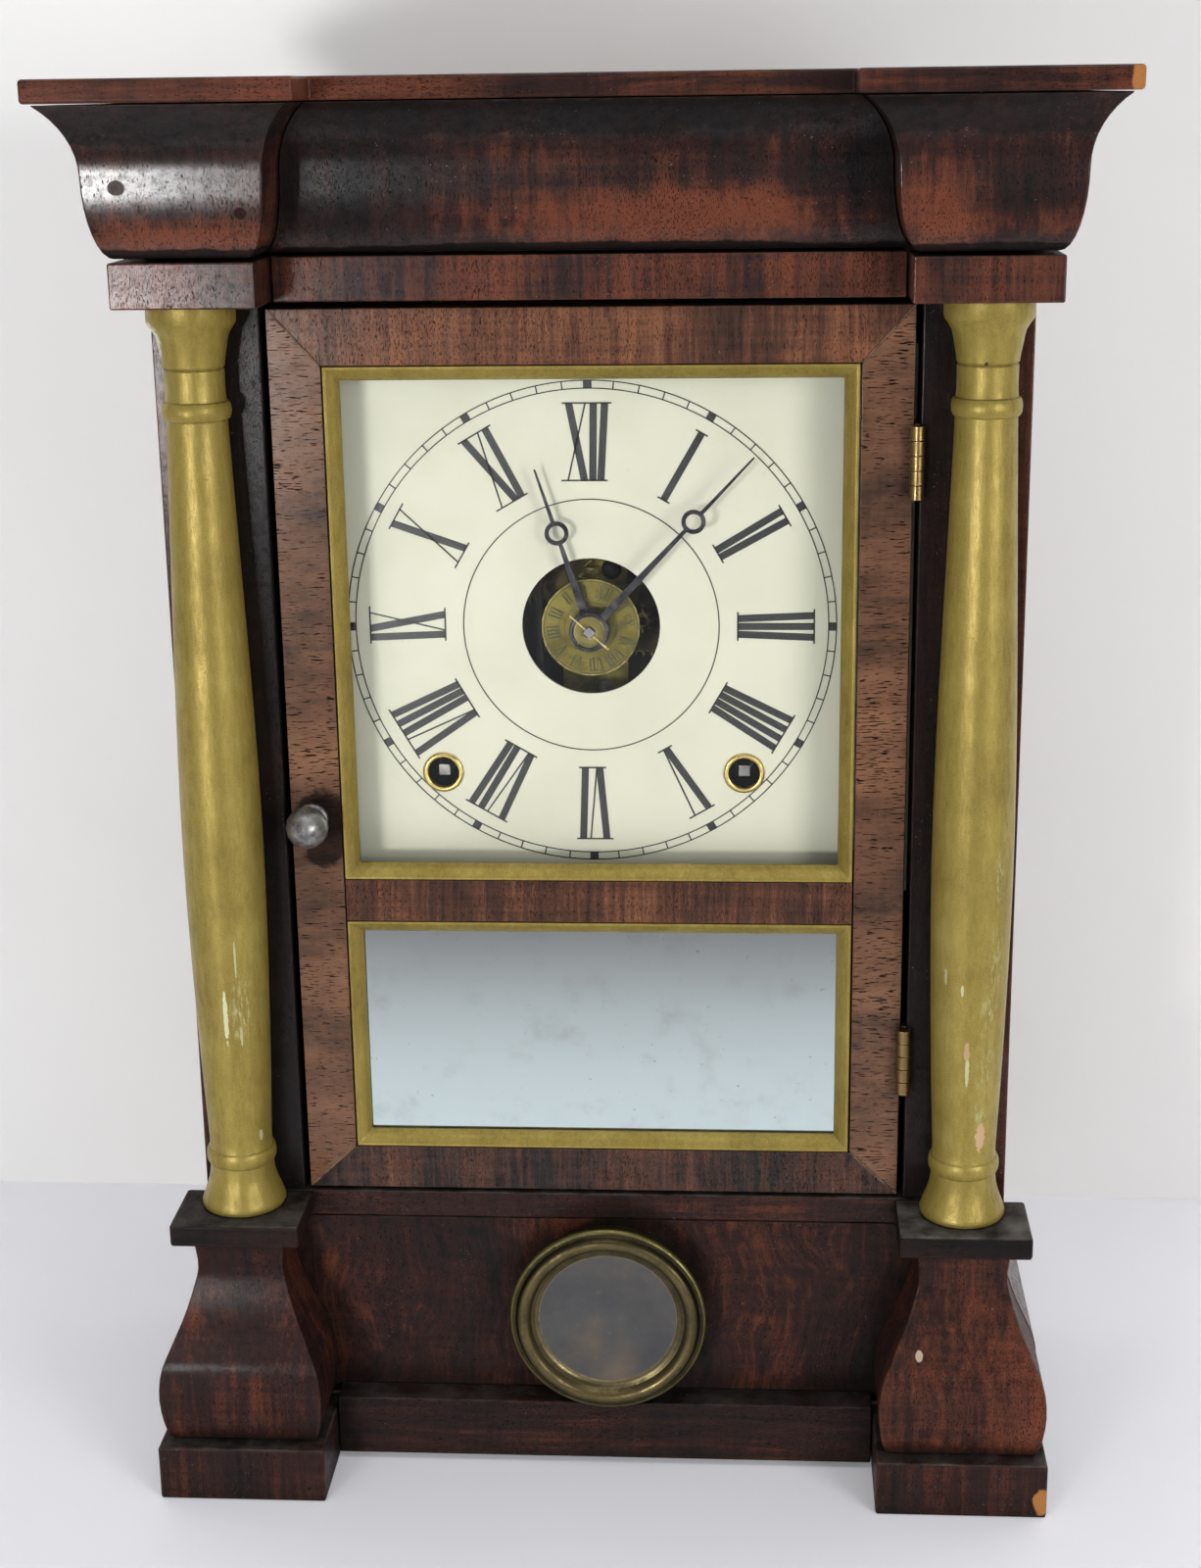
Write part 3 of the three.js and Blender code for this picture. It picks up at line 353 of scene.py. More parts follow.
# looks that pieces have in common; share is how much band, streak and cloud count
doorRail = {"tones": "warm", "bands": 80, "streaks": 620, "share": (0.22, 0.46, 0.32)}
doorStile = {"grain": "x", "tones": "brown", "bands": 60, "share": (0.18, 0.22, 0.6), "pores": 2700,
             "poreRun": 0.11, "poreDepth": 0.95}
pedestalCap = {"grain": "x", "tones": "stain", "lean": 0.05, "wear": 0.5, "polish": 0.2}
plinth = {"lean": -0.01, "bands": 50, "dust": 0.5, "wear": 0.6, "polish": 0.3}
caseSide = {"lean": 0.03, "bands": 30, "figure": 9, "warp": 0.01}
frontStile = {"tones": "stain", "wear": 0.2, "dust": 0.2, "poreDepth": 0.3, "polish": 0.6}
woodLooks = {
    "cornice_top": dict(grain="x", lean=0.08, dust=0.6, wear=0.5, polish=0.3, warmth=[
        tonePatch(0.105, -0.045, 0.403, 0.06, 0.02, -0.16, deep=0.04),
        tonePatch(-0.01, -0.045, 0.403, 0.03, 0.02, -0.08, deep=0.04),
    ], marks=[chip((0.1385, -0.056, 0.403), (0.0035, 0.012, 0.006), orangeChip)]),
    "cornice_centre": dict(lean=-0.03, bands=30, streaks=300, warmth=[
        tonePatch(0.026, -0.035, 0.37, 0.085, 0.013, 0.2),
        tonePatch(0, -0.035, 0.384, 0.05, 0.006, 0.05),
        tonePatch(0, -0.035, 0.396, 0.11, 0.01, -0.1),
        # darker ends where the centre meets the blocks: painted shade with grime
        tonePatch(-0.066, -0.035, 0.378, 0.02, 0.03, -0.1),
        tonePatch(0.072, -0.035, 0.378, 0.026, 0.03, -0.14),
    ], marks=hollowShadeBands(0, -0.035, 0.3985, 0.003)),
    "left_cornice_block": dict(bands=40, shift=(0.3, 0.1, 0), polish=1.6, pores=3000, warmth=[
        tonePatch(-0.106, -0.045, 0.3665, 0.04, 0.0075, 0.14),
        tonePatch(-0.106, -0.055, 0.392, 0.05, 0.007, -0.05),
    ], marks=[
        chip((-0.1185, -0.049, 0.3791), (0.0026, 0.006, 0.0021), nailFill),
        chip((-0.0869, -0.048, 0.3725), (0.0018, 0.006, 0.0017), nailFill),
        *hollowShadeBands(-0.106, -0.045, 0.398, 0.0032),
    ]),
    "right_cornice_block": dict(lean=-0.04, bands=40, shift=(0.7, 0.2, 0), warmth=[
        tonePatch(0.09, -0.048, 0.374, 0.02, 0.022, 0.16),
        tonePatch(0.112, -0.048, 0.368, 0.038, 0.007, 0.1),
    ], marks=hollowShadeBands(0.106, -0.045, 0.3975, 0.003)),
    "frieze_rail": dict(lean=0.05, bands=70, shift=(0.2, 0, 0.1)),
    "left_frieze_block": dict(lean=0.03, bands=70, shift=(0.5, 0.3, 0)),
    "right_frieze_block": dict(lean=0.05, bands=90, shift=(0.9, 0.3, 0)),
    "door_top_rail": dict(doorRail, lean=0.02, shift=(0.15, 0, 0)),
    "door_middle_rail": dict(doorRail, lean=-0.02, shift=(0.35, 0, 0.2)),
    "door_bottom_rail": dict(doorRail, lean=-0.06, shift=(0.55, 0, 0.4)),
    "door_left_stile": dict(doorStile, lean=0.03, shift=(0.05, 0, 0.7), marks=[
        dict(chip((-0.0785, -0.0205, 0.199), (0.0085, 0.02, 0.013), knobStain, 1.1), amount=0.85, grain=130),
    ]),
    "door_right_stile": dict(doorStile, shift=(0.25, 0, 0.9)),
    "base_top_rail": dict(grain="x", lean=-0.01, bands=60, dust=0.5, polish=0.4),
    "base_panel": dict(lean=-0.01, bands=42, warp=0.03, figure=18, polish=0.3),
    "base_skirt": dict(grain="x", lean=-0.04, bands=60, shift=(0.4, 0, 0.4), polish=0.3),
    "left_pedestal_cap": dict(pedestalCap, dust=0.5),
    "right_pedestal_cap": dict(pedestalCap, dust=0.9, shift=(0.3, 0, 0)),
    "left_pedestal": dict(bands=34, shift=(0.1, 0.4, 0), polish=0.25, marks=[
        chip((-0.1335, -0.0415, 0.031), (0.0012, 0.004, 0.003), paleChip, 1.2),
    ]),
    "right_pedestal": dict(lean=0.01, bands=34, shift=(0.6, 0.5, 0), polish=0.3, marks=[
        chip((0.0933, -0.0475, 0.048), (0.0012, 0.006, 0.0016), paleChip, 1),
    ]),
    "left_plinth": plinth,
    "right_plinth": dict(plinth, marks=[
        chip((0.1295, -0.0546, 0.0055), (0.0028, 0.006, 0.0045), orangeChip, 1),
    ]),
    "left_case_side": caseSide,
    "right_case_side": dict(caseSide, shift=(0.5, 0.2, 0)),
    "left_front_stile": frontStile,
    "right_front_stile": dict(frontStile, lean=0.04, shift=(0.4, 0, 0)),
}


def camel(name):
    first, *rest = name.split("_")
    return first + "".join(word.title() for word in rest)


woods = {node: rosewood(camel(node) + "Veneer", **look) for node, look in woodLooks.items()}
print("veneers made:", len(woods))


def pineBoard(name, grain):
    material, shader, place = newMaterial(name)
    run = addNode(place, "Mapping", {"Vector": place, "Rotation": grainTurns[grain]})
    wood = useGroup(woodGrain, run.outputs[0], bands=90, streaks=380, pores=2400, poreRun=0.12, warp=0.006,
                    figure=7)
    colour = ramp(plus(times(wood["band"], 0.7), times(wood["streak"], 0.3)), [
        (0.32, (0.1, 0.055, 0.026)), (0.52, (0.24, 0.145, 0.07)), (0.72, (0.34, 0.22, 0.115)),
    ])
    grime = remap(noise(place, 24, 5, 0.6), 0.45, 0.75)
    colour = mixColour(times(grime, 0.55), colour, (0.06, 0.04, 0.025))
    worn = useGroup(edgeWear, place, amount=0.5)["wear"]
    colour = mixColour(worn, colour, (0.4, 0.28, 0.16))
    setSurface(shader, colour=colour, roughness=remap(wood["streak"], 0.2, 0.8, 0.62, 0.82))
    setBump(shader, wood["height"], 0.4, 0.0005)
    return material


# bronze-gold paint on the columns and mouldings
giltPaint = {
    "shade": (0.185, 0.132, 0.022),
    "gold": (0.285, 0.211, 0.04),
    "bright": (0.39, 0.305, 0.075),
    "bared": (0.055, 0.035, 0.02),
    "scratch": (0.6, 0.6, 0.36),
    "rubbed": (0.5, 0.49, 0.23),
    "chip": (0.58, 0.38, 0.22),
    "metal": 0.45,
}


def gilt(name, marks=(), wear=0.7, flecks=0.35, lean=0, grime=0.5):
    material, shader, place = newMaterial(name)
    brushed = stretch(place, (1, 1, 0.25))
    cloud = noise(place, 60, 4, 0.6)
    brush = noise(brushed, 700, 3, 0.6)
    lengthways = noise(stretch(place, (1, 1, 0.03)), 190, 2)
    tone = plus(times(cloud, 0.46), times(brush, 0.36))
    tone = plus(tone, times(lengthways, 0.18))
    sparkle = noise(place, 2400, 2, 0.6)
    tone = plus(tone, times(minus(sparkle, 0.5), 0.35))
    colour = ramp(plus(tone, lean), [
        (0.3, giltPaint["shade"]), (0.5, giltPaint["gold"]), (0.72, giltPaint["bright"]),
    ])
    speck = remap(noise(place, 1500, 2, 0.5), 0.64, 0.74)
    speck = times(speck, remap(noise(place, 45, 3), 0.45, 0.62, 0, flecks))
    worn = useGroup(edgeWear, place, radius=0.0008, grain=700, amount=wear)["wear"]
    # painted shade and grime in corners, from ambient occlusion; it darkens the colour together with chips and
    # worn edges
    grimeAndShadeMask = useGroup(cornerGrimeAndShade, place, reach=0.005, amount=grime)["grime"]
    bare = most(most(speck, worn), grimeAndShadeMask)
    colour = mixColour(bare, colour, giltPaint["bared"])
    for spot in marks:
        spot = {"ragged": 0.6, "grain": 500, **spot}
        if spot.get("cover"):
            spot["cover"] = remap(noise(brushed, 1000, 6, 0.75), 0.46, 0.64)
        colour = layMark(place, colour, **spot)[0]
    metal = times(minus(1, bare), giltPaint["metal"])
    setSurface(shader, colour=colour, metal=metal, roughness=remap(tone, 0.3, 0.7, 0.5, 0.33))
    height = minus(plus(times(brush, 0.9), sparkle), bare)
    setBump(shader, height, 0.3, 0.0002)
    return material


def agedBrass(name, shade=(0.2, 0.125, 0.035), clean=(0.62, 0.42, 0.145), stain=0.5, roughness=0.34,
              turned=False, rings=None, shadeOutsideStrap=None):
    material, shader, place = newMaterial(name)
    cloud = noise(place, 85, 5, 0.62)
    scuff = noise(stretch(place, (1, 1, 1) if turned else (1, 1, 6)), 900, 2, 0.5)
    tarnish = remap(plus(times(cloud, 0.75), times(scuff, 0.25)), 0.36, 0.64)
    colour = mixColour(times(tarnish, stain), clean, shade)
    worn = useGroup(edgeWear, place, radius=0.0006, grain=500, amount=0.6)["wear"]
    colour = mixColour(worn, colour, (0.8, 0.6, 0.27))
    spots = remap(noise(place, 620, 2), 0.66, 0.74)
    colour = mixColour(times(spots, 0.6), colour, (0.045, 0.03, 0.014))
    if rings:
        # tones by distance from the centre, and a grey-brown skin on the disc
        spread = stretch(calcVector("SUBTRACT", place, rings["centre"]), (1, 0, 1))
        share = calc("DIVIDE", calcVector("LENGTH", spread, output="Value"), rings["radius"])
        colour = mixColour(1, colour, ramp(share, rings["tones"]), "MULTIPLY")
        grey = ramp(noise(place, 48, 3), rings["skin"])
        colour = mixColour(remap(share, rings["disc"] + 0.01, rings["disc"] - 0.02), colour, grey)
    if shadeOutsideStrap:
        # outside the middle strap the plate is painted near-black: painted shade standing in for the dark open
        # space beside a strap
        middle, half = shadeOutsideStrap
        side = calc("ABSOLUTE", minus(splitAxes(place)[0], middle))
        colour = mixColour(remap(side, half - 0.0003, half + 0.0003), colour, (0.002, 0.002, 0.0015))
    setSurface(shader, colour=colour, metal=minus(0.95, times(spots, 0.5)),
               roughness=remap(tarnish, 0, 1, roughness - 0.08, roughness + 0.14))
    setBump(shader, scuff, 0.12, 0.0002)
    return material


def darkSteel(name, base, bare, rust, roughness=0.38):
    material, shader, place = newMaterial(name)
    cloud = noise(place, 260, 4, 0.6)
    colour = mixColour(remap(cloud, 0.42, 0.75, 0, 0.35), base, bare)
    worn = useGroup(edgeWear, place, radius=0.0004, grain=900, amount=0.7)["wear"]
    colour = mixColour(worn, colour, bare)
    rusty = remap(noise(place, 420, 5, 0.65), 0.58, 0.72, 0, rust)
    colour = mixColour(rusty, colour, (0.085, 0.036, 0.016))
    setSurface(shader, colour=colour, metal=remap(rusty, 0, 0.6, 0.85, 0.3),
               roughness=remap(cloud, 0.3, 0.7, roughness - 0.06, roughness + 0.12))
    setBump(shader, cloud, 0.15, 0.0002)
    return material


def pewterBall(name):
    material, shader, place = newMaterial(name)
    cloud = noise(place, 320, 5, 0.6)
    colour = ramp(cloud, [
        (0.34, (0.085, 0.08, 0.078)), (0.52, (0.24, 0.235, 0.23)), (0.7, (0.38, 0.375, 0.365)),
    ])
    worn = useGroup(edgeWear, place, radius=0.0005, grain=900, amount=0.4)["wear"]
    colour = mixColour(worn, colour, (0.5, 0.49, 0.47))
    setSurface(shader, colour=colour, metal=0.8, roughness=remap(cloud, 0.3, 0.7, 0.52, 0.34))
    setBump(shader, cloud, 0.2, 0.0003)
    return material


def dialPaint(name):
    material, shader, place = newMaterial(name)
    cloud = noise(place, 38, 4, 0.55)
    colour = mixColour(remap(cloud, 0.35, 0.7), (0.715, 0.69, 0.55), (0.675, 0.65, 0.51))
    # a greenish-grey band painted along the dial's edges: painted shade of the door's moulding
    across, _, upright = splitAxes(place)
    side = calc("ABSOLUTE", plus(across, 0.0017))
    height = calc("ABSOLUTE", minus(upright, 0.2548))
    paintedEdgeShade = most(remap(side, 0.052, 0.074), remap(height, 0.06, 0.076))
    colour = mixColour(times(paintedEdgeShade, 0.55), colour, (0.56, 0.565, 0.42))
    fleck = remap(noise(place, 900, 2), 0.7, 0.76)
    colour = mixColour(times(fleck, 0.35), colour, (0.42, 0.38, 0.27))
    setSurface(shader, colour=colour, roughness=remap(cloud, 0.3, 0.7, 0.36, 0.5))
    setBump(shader, noise(place, 240, 4), 0.08, 0.0004)
    return material


def glueLine(name, pale=(0.16, 0.085, 0.045), dark=(0.045, 0.02, 0.011)):
    material, shader, place = newMaterial(name)
    broken = noise(place, 420, 4, 0.6)
    setSurface(shader, colour=mixColour(remap(broken, 0.4, 0.65), pale, dark),
               roughness=remap(broken, 0.3, 0.7, 0.5, 0.7))
    setBump(shader, broken, 0.1, 0.0001)
    return material


def inkPaint(name):
    material, shader, place = newMaterial(name)
    worn = remap(noise(place, 800, 4, 0.6), 0.56, 0.72, 0, 0.5)
    colour = mixColour(worn, (0.005, 0.005, 0.005), (0.05, 0.047, 0.042))
    setSurface(shader, colour=colour, roughness=remap(worn, 0, 0.5, 0.38, 0.6))
    setBump(shader, worn, 0.1, 0.0001)
    return material


def paneGlass(name):
    material, shader, place = newMaterial(name)
    smear = noise(place, 30, 5, 0.6)
    setSurface(shader, colour=(0.965, 0.98, 0.97), clear=1, ior=1.3, roughness=remap(smear, 0.45, 0.8, 0, 0.05))
    setBump(shader, noise(place, 9, 1), 0.02, 0.002)
    clear = addNode(place, "BsdfTransparent", {"Color": (0.97, 0.98, 0.975, 1)})
    path = addNode(place, "LightPath").outputs
    setShader(most(path["Is Shadow Ray"], path["Is Diffuse Ray"]), shader, clear)
    return material


def oldMirrorPaintedReflection(name):
    material, shader, place = newMaterial(name)
    # painted reflection: the tint brightens towards the bottom, standing in for the pale floor seen in the
    # mirror; the grey patches and foxing are age
    colour = ramp(remap(splitAxes(place)[2], 0.17, 0.1), [
        (0, (0.56, 0.59, 0.58)), (0.35, (0.62, 0.7, 0.7)), (1, (0.67, 0.77, 0.77)),
    ])
    grey = remap(noise(place, 70, 6, 0.62), 0.5, 0.78, 0, 0.4)
    colour = mixColour(grey, colour, (0.42, 0.43, 0.42))
    foxing = remap(noise(place, 520, 5, 0.6), 0.66, 0.76, 0, 0.6)
    colour = mixColour(foxing, colour, (0.1, 0.085, 0.065))
    setSurface(shader, colour=colour, metal=1, roughness=remap(grey, 0, 0.4, 0.05, 0.16))
    setBump(shader, noise(place, 14, 2), 0.03, 0.001)
    return material


roundelRings = {
    "centre": (0.002, 0, 0.0498), "radius": 0.0294, "disc": 0.705,
    "tones": [(0.7, (0.95, 0.95, 1)), (0.75, (0.28, 0.28, 0.29)), (0.86, (0.58, 0.56, 0.5)),
              (0.925, (0.14, 0.14, 0.15)), (0.965, (0.2, 0.2, 0.19)), (0.985, (0.9, 0.95, 0.72))],
    "skin": [(0.35, (0.09, 0.092, 0.098)), (0.52, (0.115, 0.11, 0.105)), (0.68, (0.175, 0.14, 0.108))],
}


# wear on the columns: thin pale scratches, rubbed patches and chips down to the ground coat
columnWear = {
    "scratch": {"deep": 0.004, "ragged": 1.2, "grain": 900},
    "rubbed": {"deep": 0.008, "ragged": 0.9, "grain": 420, "soft": 0, "cover": True},
    "chip": {"deep": 0.004, "ragged": 1.4, "grain": 700},
}


def columnMark(kind, x, y, z, wide, tall, amount):
    look = dict(columnWear[kind], centre=(x, y, z), colour=giltPaint[kind], amount=amount)
    look["size"] = (wide, look.pop("deep"), tall)
    return look


finishes = {
    "columnLeft": gilt("columnLeftGilt", grime=0.15, marks=[
        chip((-0.1155, -0.0325, 0.339), (0.0028, 0.006, 0.006), (0.62, 0.58, 0.44), 1.4),
        columnMark("rubbed", -0.1014, -0.0386, 0.15, 0.0045, 0.0156, 1),
        columnMark("scratch", -0.1058, -0.0396, 0.1484, 0.0007, 0.0085, 0.95),
        columnMark("scratch", -0.1022, -0.0394, 0.1662, 0.0003, 0.006, 0.7),
        columnMark("scratch", -0.1018, -0.0386, 0.1419, 0.0004, 0.003, 0.6),
        columnMark("scratch", -0.0987, -0.0347, 0.1095, 0.0004, 0.002, 0.7),
    ]),
    "columnRight": gilt("columnRightGilt", grime=0.15, marks=[
        columnMark("rubbed", 0.1107, -0.0386, 0.1512, 0.0035, 0.011, 0.85),
        columnMark("rubbed", 0.1124, -0.038, 0.1665, 0.0033, 0.0156, 0.7),
        columnMark("rubbed", 0.1127, -0.0382, 0.1908, 0.0022, 0.011, 0.8),
        columnMark("rubbed", 0.1104, -0.0382, 0.1344, 0.004, 0.011, 0.7),
        columnMark("rubbed", 0.1092, -0.0381, 0.1205, 0.0028, 0.0055, 1),
        columnMark("scratch", 0.1053, -0.0392, 0.1335, 0.0006, 0.0045, 0.8),
        columnMark("scratch", 0.1033, -0.0396, 0.1583, 0.0004, 0.0018, 0.7),
        columnMark("scratch", 0.0988, -0.0373, 0.1617, 0.0004, 0.003, 0.5),
        columnMark("chip", 0.1051, -0.0392, 0.1395, 0.0009, 0.003, 0.7),
        columnMark("chip", 0.1097, -0.0378, 0.113, 0.0015, 0.0045, 0.9),
        chip((0.1048, -0.0371, 0.3318), (0.0006, 0.002, 0.0006), giltPaint["bared"], 0.6),
    ]),
    "moulding": gilt("mouldingGilt", wear=0.5, flecks=0.7, lean=-0.02, grime=0.9),
    "pine": pineBoard("backPine", "z"),
    "pineFloor": pineBoard("floorPine", "x"),
    "hinge": agedBrass("hingeBrass", shade=(0.085, 0.055, 0.02), clean=(0.3, 0.205, 0.085)),
    # the wheels inside the case get near-black brass: painted shade of the dark inside
    "wheel": agedBrass("wheelBrassPaintedShade", shade=(0.01, 0.008, 0.003), clean=(0.06, 0.046, 0.014), stain=0.8,
                       roughness=0.5),
    "eyelet": agedBrass("eyeletBrass", clean=(0.66, 0.5, 0.17), stain=0.35, roughness=0.26, turned=True),
    "roundel": agedBrass("roundelBrass", shade=(0.12, 0.098, 0.052), clean=(0.3, 0.24, 0.115), stain=0.8,
                         roughness=0.38, turned=True, rings=roundelRings),
    "bob": agedBrass("bobBrass", clean=(0.6, 0.43, 0.16), stain=0.6, roughness=0.32, turned=True),
    # the plate gets near-black brass: painted shade of the dark inside of the case
    "plate": agedBrass("plateBrassPaintedShade", shade=(0.05, 0.044, 0.011), clean=(0.19, 0.162, 0.04), stain=0.9,
                       roughness=0.45, shadeOutsideStrap=(-0.0017, 0.0095)),
    "disc": agedBrass("alarmBrass", shade=(0.034, 0.029, 0.006), clean=(0.165, 0.134, 0.032), stain=0.8,
                      roughness=0.4),
    "washer": agedBrass("washerBrass", shade=(0.06, 0.049, 0.015), clean=(0.165, 0.134, 0.044), stain=0.7,
                        roughness=0.42),
    "pin": agedBrass("pinBrass", clean=(0.72, 0.58, 0.3), stain=0.2, roughness=0.26),
    "hands": darkSteel("handSteel", base=(0.02, 0.019, 0.024), bare=(0.16, 0.155, 0.16), rust=0.1,
                       roughness=0.32),
    "steel": darkSteel("arborSteel", base=(0.16, 0.155, 0.15), bare=(0.42, 0.41, 0.4), rust=0.35),
    # the pendulum rod gets near-black steel: painted shade of the dark inside of the case
    "rod": darkSteel("rodSteel", base=(0.006, 0.0055, 0.005), bare=(0.03, 0.028, 0.026), rust=0.3,
                     roughness=0.6),
    "pewter": pewterBall("knobPewter"),
    "dial": dialPaint("dialCream"),
    "glueLine": glueLine("mitreGlue"),
    "stamped": glueLine("stampedShade", (0.03, 0.025, 0.007), (0.01, 0.008, 0.003)),
    "ink": inkPaint("numeralInk"),
    "glass": paneGlass("oldPane"),
    "mirror": oldMirrorPaintedReflection("agedMirror"),
}
finishes.update(woods)
print("finishes made:", len(finishes))


# mesh helpers
def newObject(name, bm, material):
    mesh = bpy.data.meshes.new(name)
    bm.to_mesh(mesh)
    bm.free()
    mesh.materials.append(material)
    made = bpy.data.objects.new(name, mesh)
    scene.collection.objects.link(made)
    return made


def newPiece(name, bm, body, finish, replaced=(), bevelWidth=0, sharp=32):
    piece = newObject(name, bm, finishes[finish])
    for face in piece.data.polygons:
        face.use_smooth = True
    piece.data.set_sharp_from_angle(angle=math.radians(sharp))
    if bevelWidth:
        bevel = piece.modifiers.new("roundedEdges", "BEVEL")
        bevel.width = bevelWidth
        bevel.segments = 2
        bevel.limit_method = "ANGLE"
        bevel.angle_limit = math.radians(sharp)
        bevel.harden_normals = True
    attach(piece, body)
    if replaced:
        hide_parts(*replaced)


bodyOf = {node: body for body, members in frame["record"]["behaviour"]["bodies"].items() for node in members}


def dressed(node, finish, bevelWidth, sharp=32):
    bm = bmesh.new()
    bm.from_mesh(cadNodes[node].data)
    bmesh.ops.remove_doubles(bm, verts=bm.verts, dist=1e-6)
    bmesh.ops.dissolve_limit(bm, angle_limit=math.radians(0.8), verts=bm.verts, edges=bm.edges)
    newPiece(camel(node), bm, bodyOf[node], finish, [node], bevelWidth, sharp)


def turnedBmesh(profile, centre, axis, steps):
    # the profile is (radius, distance along the axis) in millimetres
    bm = bmesh.new()
    out, along = Vector((1, 0, 0)), Vector(axis)
    points = [bm.verts.new(Vector(centre) + out * r * mm + along * h * mm) for r, h in profile]
    edges = [bm.edges.new(pair) for pair in zip(points, points[1:])]
    bmesh.ops.spin(bm, geom=points + edges, cent=centre, axis=axis, angle=math.tau, steps=steps,
                   use_merge=True)
    bmesh.ops.remove_doubles(bm, verts=bm.verts, dist=1e-6)
    bmesh.ops.dissolve_degenerate(bm, dist=1e-7, edges=bm.edges)
    bmesh.ops.recalc_face_normals(bm, faces=bm.faces)
    return bm


def turnedPiece(name, body, slotName, finish, profile, x, y, z, steps, replaced=(), sharp=32):
    bm = turnedBmesh(profile, (x * mm, y, z * mm), (0, 1, 0), steps)
    newPiece(name, bm, body, finish, replaced, sharp=sharp)


# case of rosewood veneer
edgeWidths = {
    "cornice_top": 0.0009, "cornice": 0.0006, "pedestal_cap": 0.001, "plinth": 0.0008, "base_top_rail": 0.0008,
    "door_middle": 0.0003, "door": 0.0004, "": 0.0005,
}
for node in woods:
    edge = next(width for word, width in edgeWidths.items() if word in node)
    dressed(node, node, edge)
pineEdge = 0.0006
dressed("back_board", "pine", pineEdge)
dressed("bottom_board", "pineFloor", pineEdge)
print("case veneered")


# gilt half columns, turned and cut flat at the back
column = {
    "x": 106, "y": -7.5, "bottom": 85.8, "backPlane": -0.3, "steps": 72,
    "base": [(0, 0), (12, 0), (12.3, 0.6), (12.35, 1.2), (12, 2.4), (11.5, 3.7), (11, 5), (10.4, 6.6),
             (9.9, 8.2), (9.55, 10), (9.35, 12), (9.32, 13.55), (9.75, 13.9), (10.08, 14.7), (10.2, 16),
             (10.08, 17.3), (9.75, 18.1), (9.3, 18.45), (9.12, 19.4)],
    "shaft": [(9.1, 0), (9.5, 0.045), (9.9, 0.09), (10.45, 0.17), (10.95, 0.26), (11.27, 0.34), (11.4, 0.41),
              (11.35, 0.48), (11.1, 0.56), (10.72, 0.64), (10.3, 0.71), (9.7, 0.8), (9.1, 0.89), (8.4, 1)],
    "shaftSpan": (21.5, 228.3),
    "head": [(8.35, 231.55), (8.9, 231.9), (9.35, 232.8), (9.5, 234.2), (9.35, 235.6), (8.9, 236.5),
             (8.3, 236.8), (8.15, 238.5), (8.15, 242.4), (8.2, 245), (7.8, 245.5), (8.3, 246), (8.6, 248.4),
             (9.1, 250.9), (9.4, 252.6), (9.8, 254.2), (10.7, 255.8), (11.6, 257), (12, 257.9), (12, 261.9),
             (0, 261.9)],
}
low, high = column["shaftSpan"]
profile = column["base"] + [(r, low + share * (high - low)) for r, share in column["shaft"]] + column["head"]
for word, side in (("left", -1), ("right", 1)):
    centre = (side * column["x"] * mm, frontY + column["y"] * mm, column["bottom"] * mm)
    bm = turnedBmesh(profile, centre, (0, 0, 1), column["steps"])
    cutPlane = (0, frontY + column["backPlane"] * mm, 0)
    bmesh.ops.bisect_plane(bm, geom=bm.verts[:] + bm.edges[:] + bm.faces[:], plane_co=cutPlane,
                           plane_no=(0, 1, 0), clear_outer=True)
    bmesh.ops.holes_fill(bm, edges=[edge for edge in bm.edges if edge.is_boundary], sides=0)
    bmesh.ops.recalc_face_normals(bm, faces=bm.faces)
    newPiece(word + "Column", bm, "case", "column" + word.title(), [word + "_column"], sharp=28)
print("columns turned")


# thin glue lines in the door's mitred corners
mitre = {"outer": 87.3, "inner": 73.5, "top": (345.7, 330.6), "bottom": (86.6, 99.6), "width": 0.34,
         "front": 1.04, "back": 2.6}
bm = bmesh.new()
for side in (-1, 1):
    for outerZ, innerZ in (mitre["top"], mitre["bottom"]):
        start = Vector((side * mitre["outer"], 0, outerZ)) * mm
        run = Vector((side * mitre["inner"], 0, innerZ)) * mm - start
        middle = start + run / 2 + Vector((0, frontY + (mitre["front"] + mitre["back"]) / 2 * mm, 0))
        lean = Matrix.Rotation(math.atan2(run.x, run.z), 4, "Y")
        size = Matrix.Diagonal((mitre["width"] * mm, (mitre["back"] - mitre["front"]) * mm, run.length, 1))
        bmesh.ops.create_cube(bm, size=1, matrix=Matrix.Translation(middle) @ lean @ size)
newPiece("doorMitreLines", bm, "door", "glueLine")

# door fittings
levels = ("upper", "lower")
for level in levels:
    dressed(level + "_gilt_moulding", "moulding", 0.0003, sharp=24)
dressed("dial_glass", "glass", 0.0002)
dressed("mirror", "mirror", 0.0003)
for leaf in ("_hinge_case_leaf", "_hinge_door_leaf"):
    for level in levels:
        dressed(level + leaf, "hinge", 0.0002, sharp=40)
dressed("door_knob", "pewter", 0.0002, sharp=40)

# brass roundel on the base panel
roundel = {
    "x": 2, "z": 49.8, "steps": 96,
    "profile": [(0, 0.5), (25.4, 0.5), (25.8, -8.7), (28.8, -9.3), (29.25, -9.6), (29.4, -10.2),
                (29.25, -10.9), (28.9, -11.3), (28.3, -11.5), (27.6, -11.5), (27.25, -12), (27, -12.7),
                (26.4, -13.2), (25.4, -13.5), (24.4, -13.3), (23.7, -12.7), (23.2, -11.9), (22.8, -11.35),
                (22, -11.1), (21.3, -10.85), (20.9, -10.4), (20.7, -10.2), (0, -10.2)],
}
turnedPiece("brassRoundel", "case", "brass", "roundel", **roundel, y=frontY, replaced=["brass_roundel"],
            sharp=34)
print("door and base fittings made")


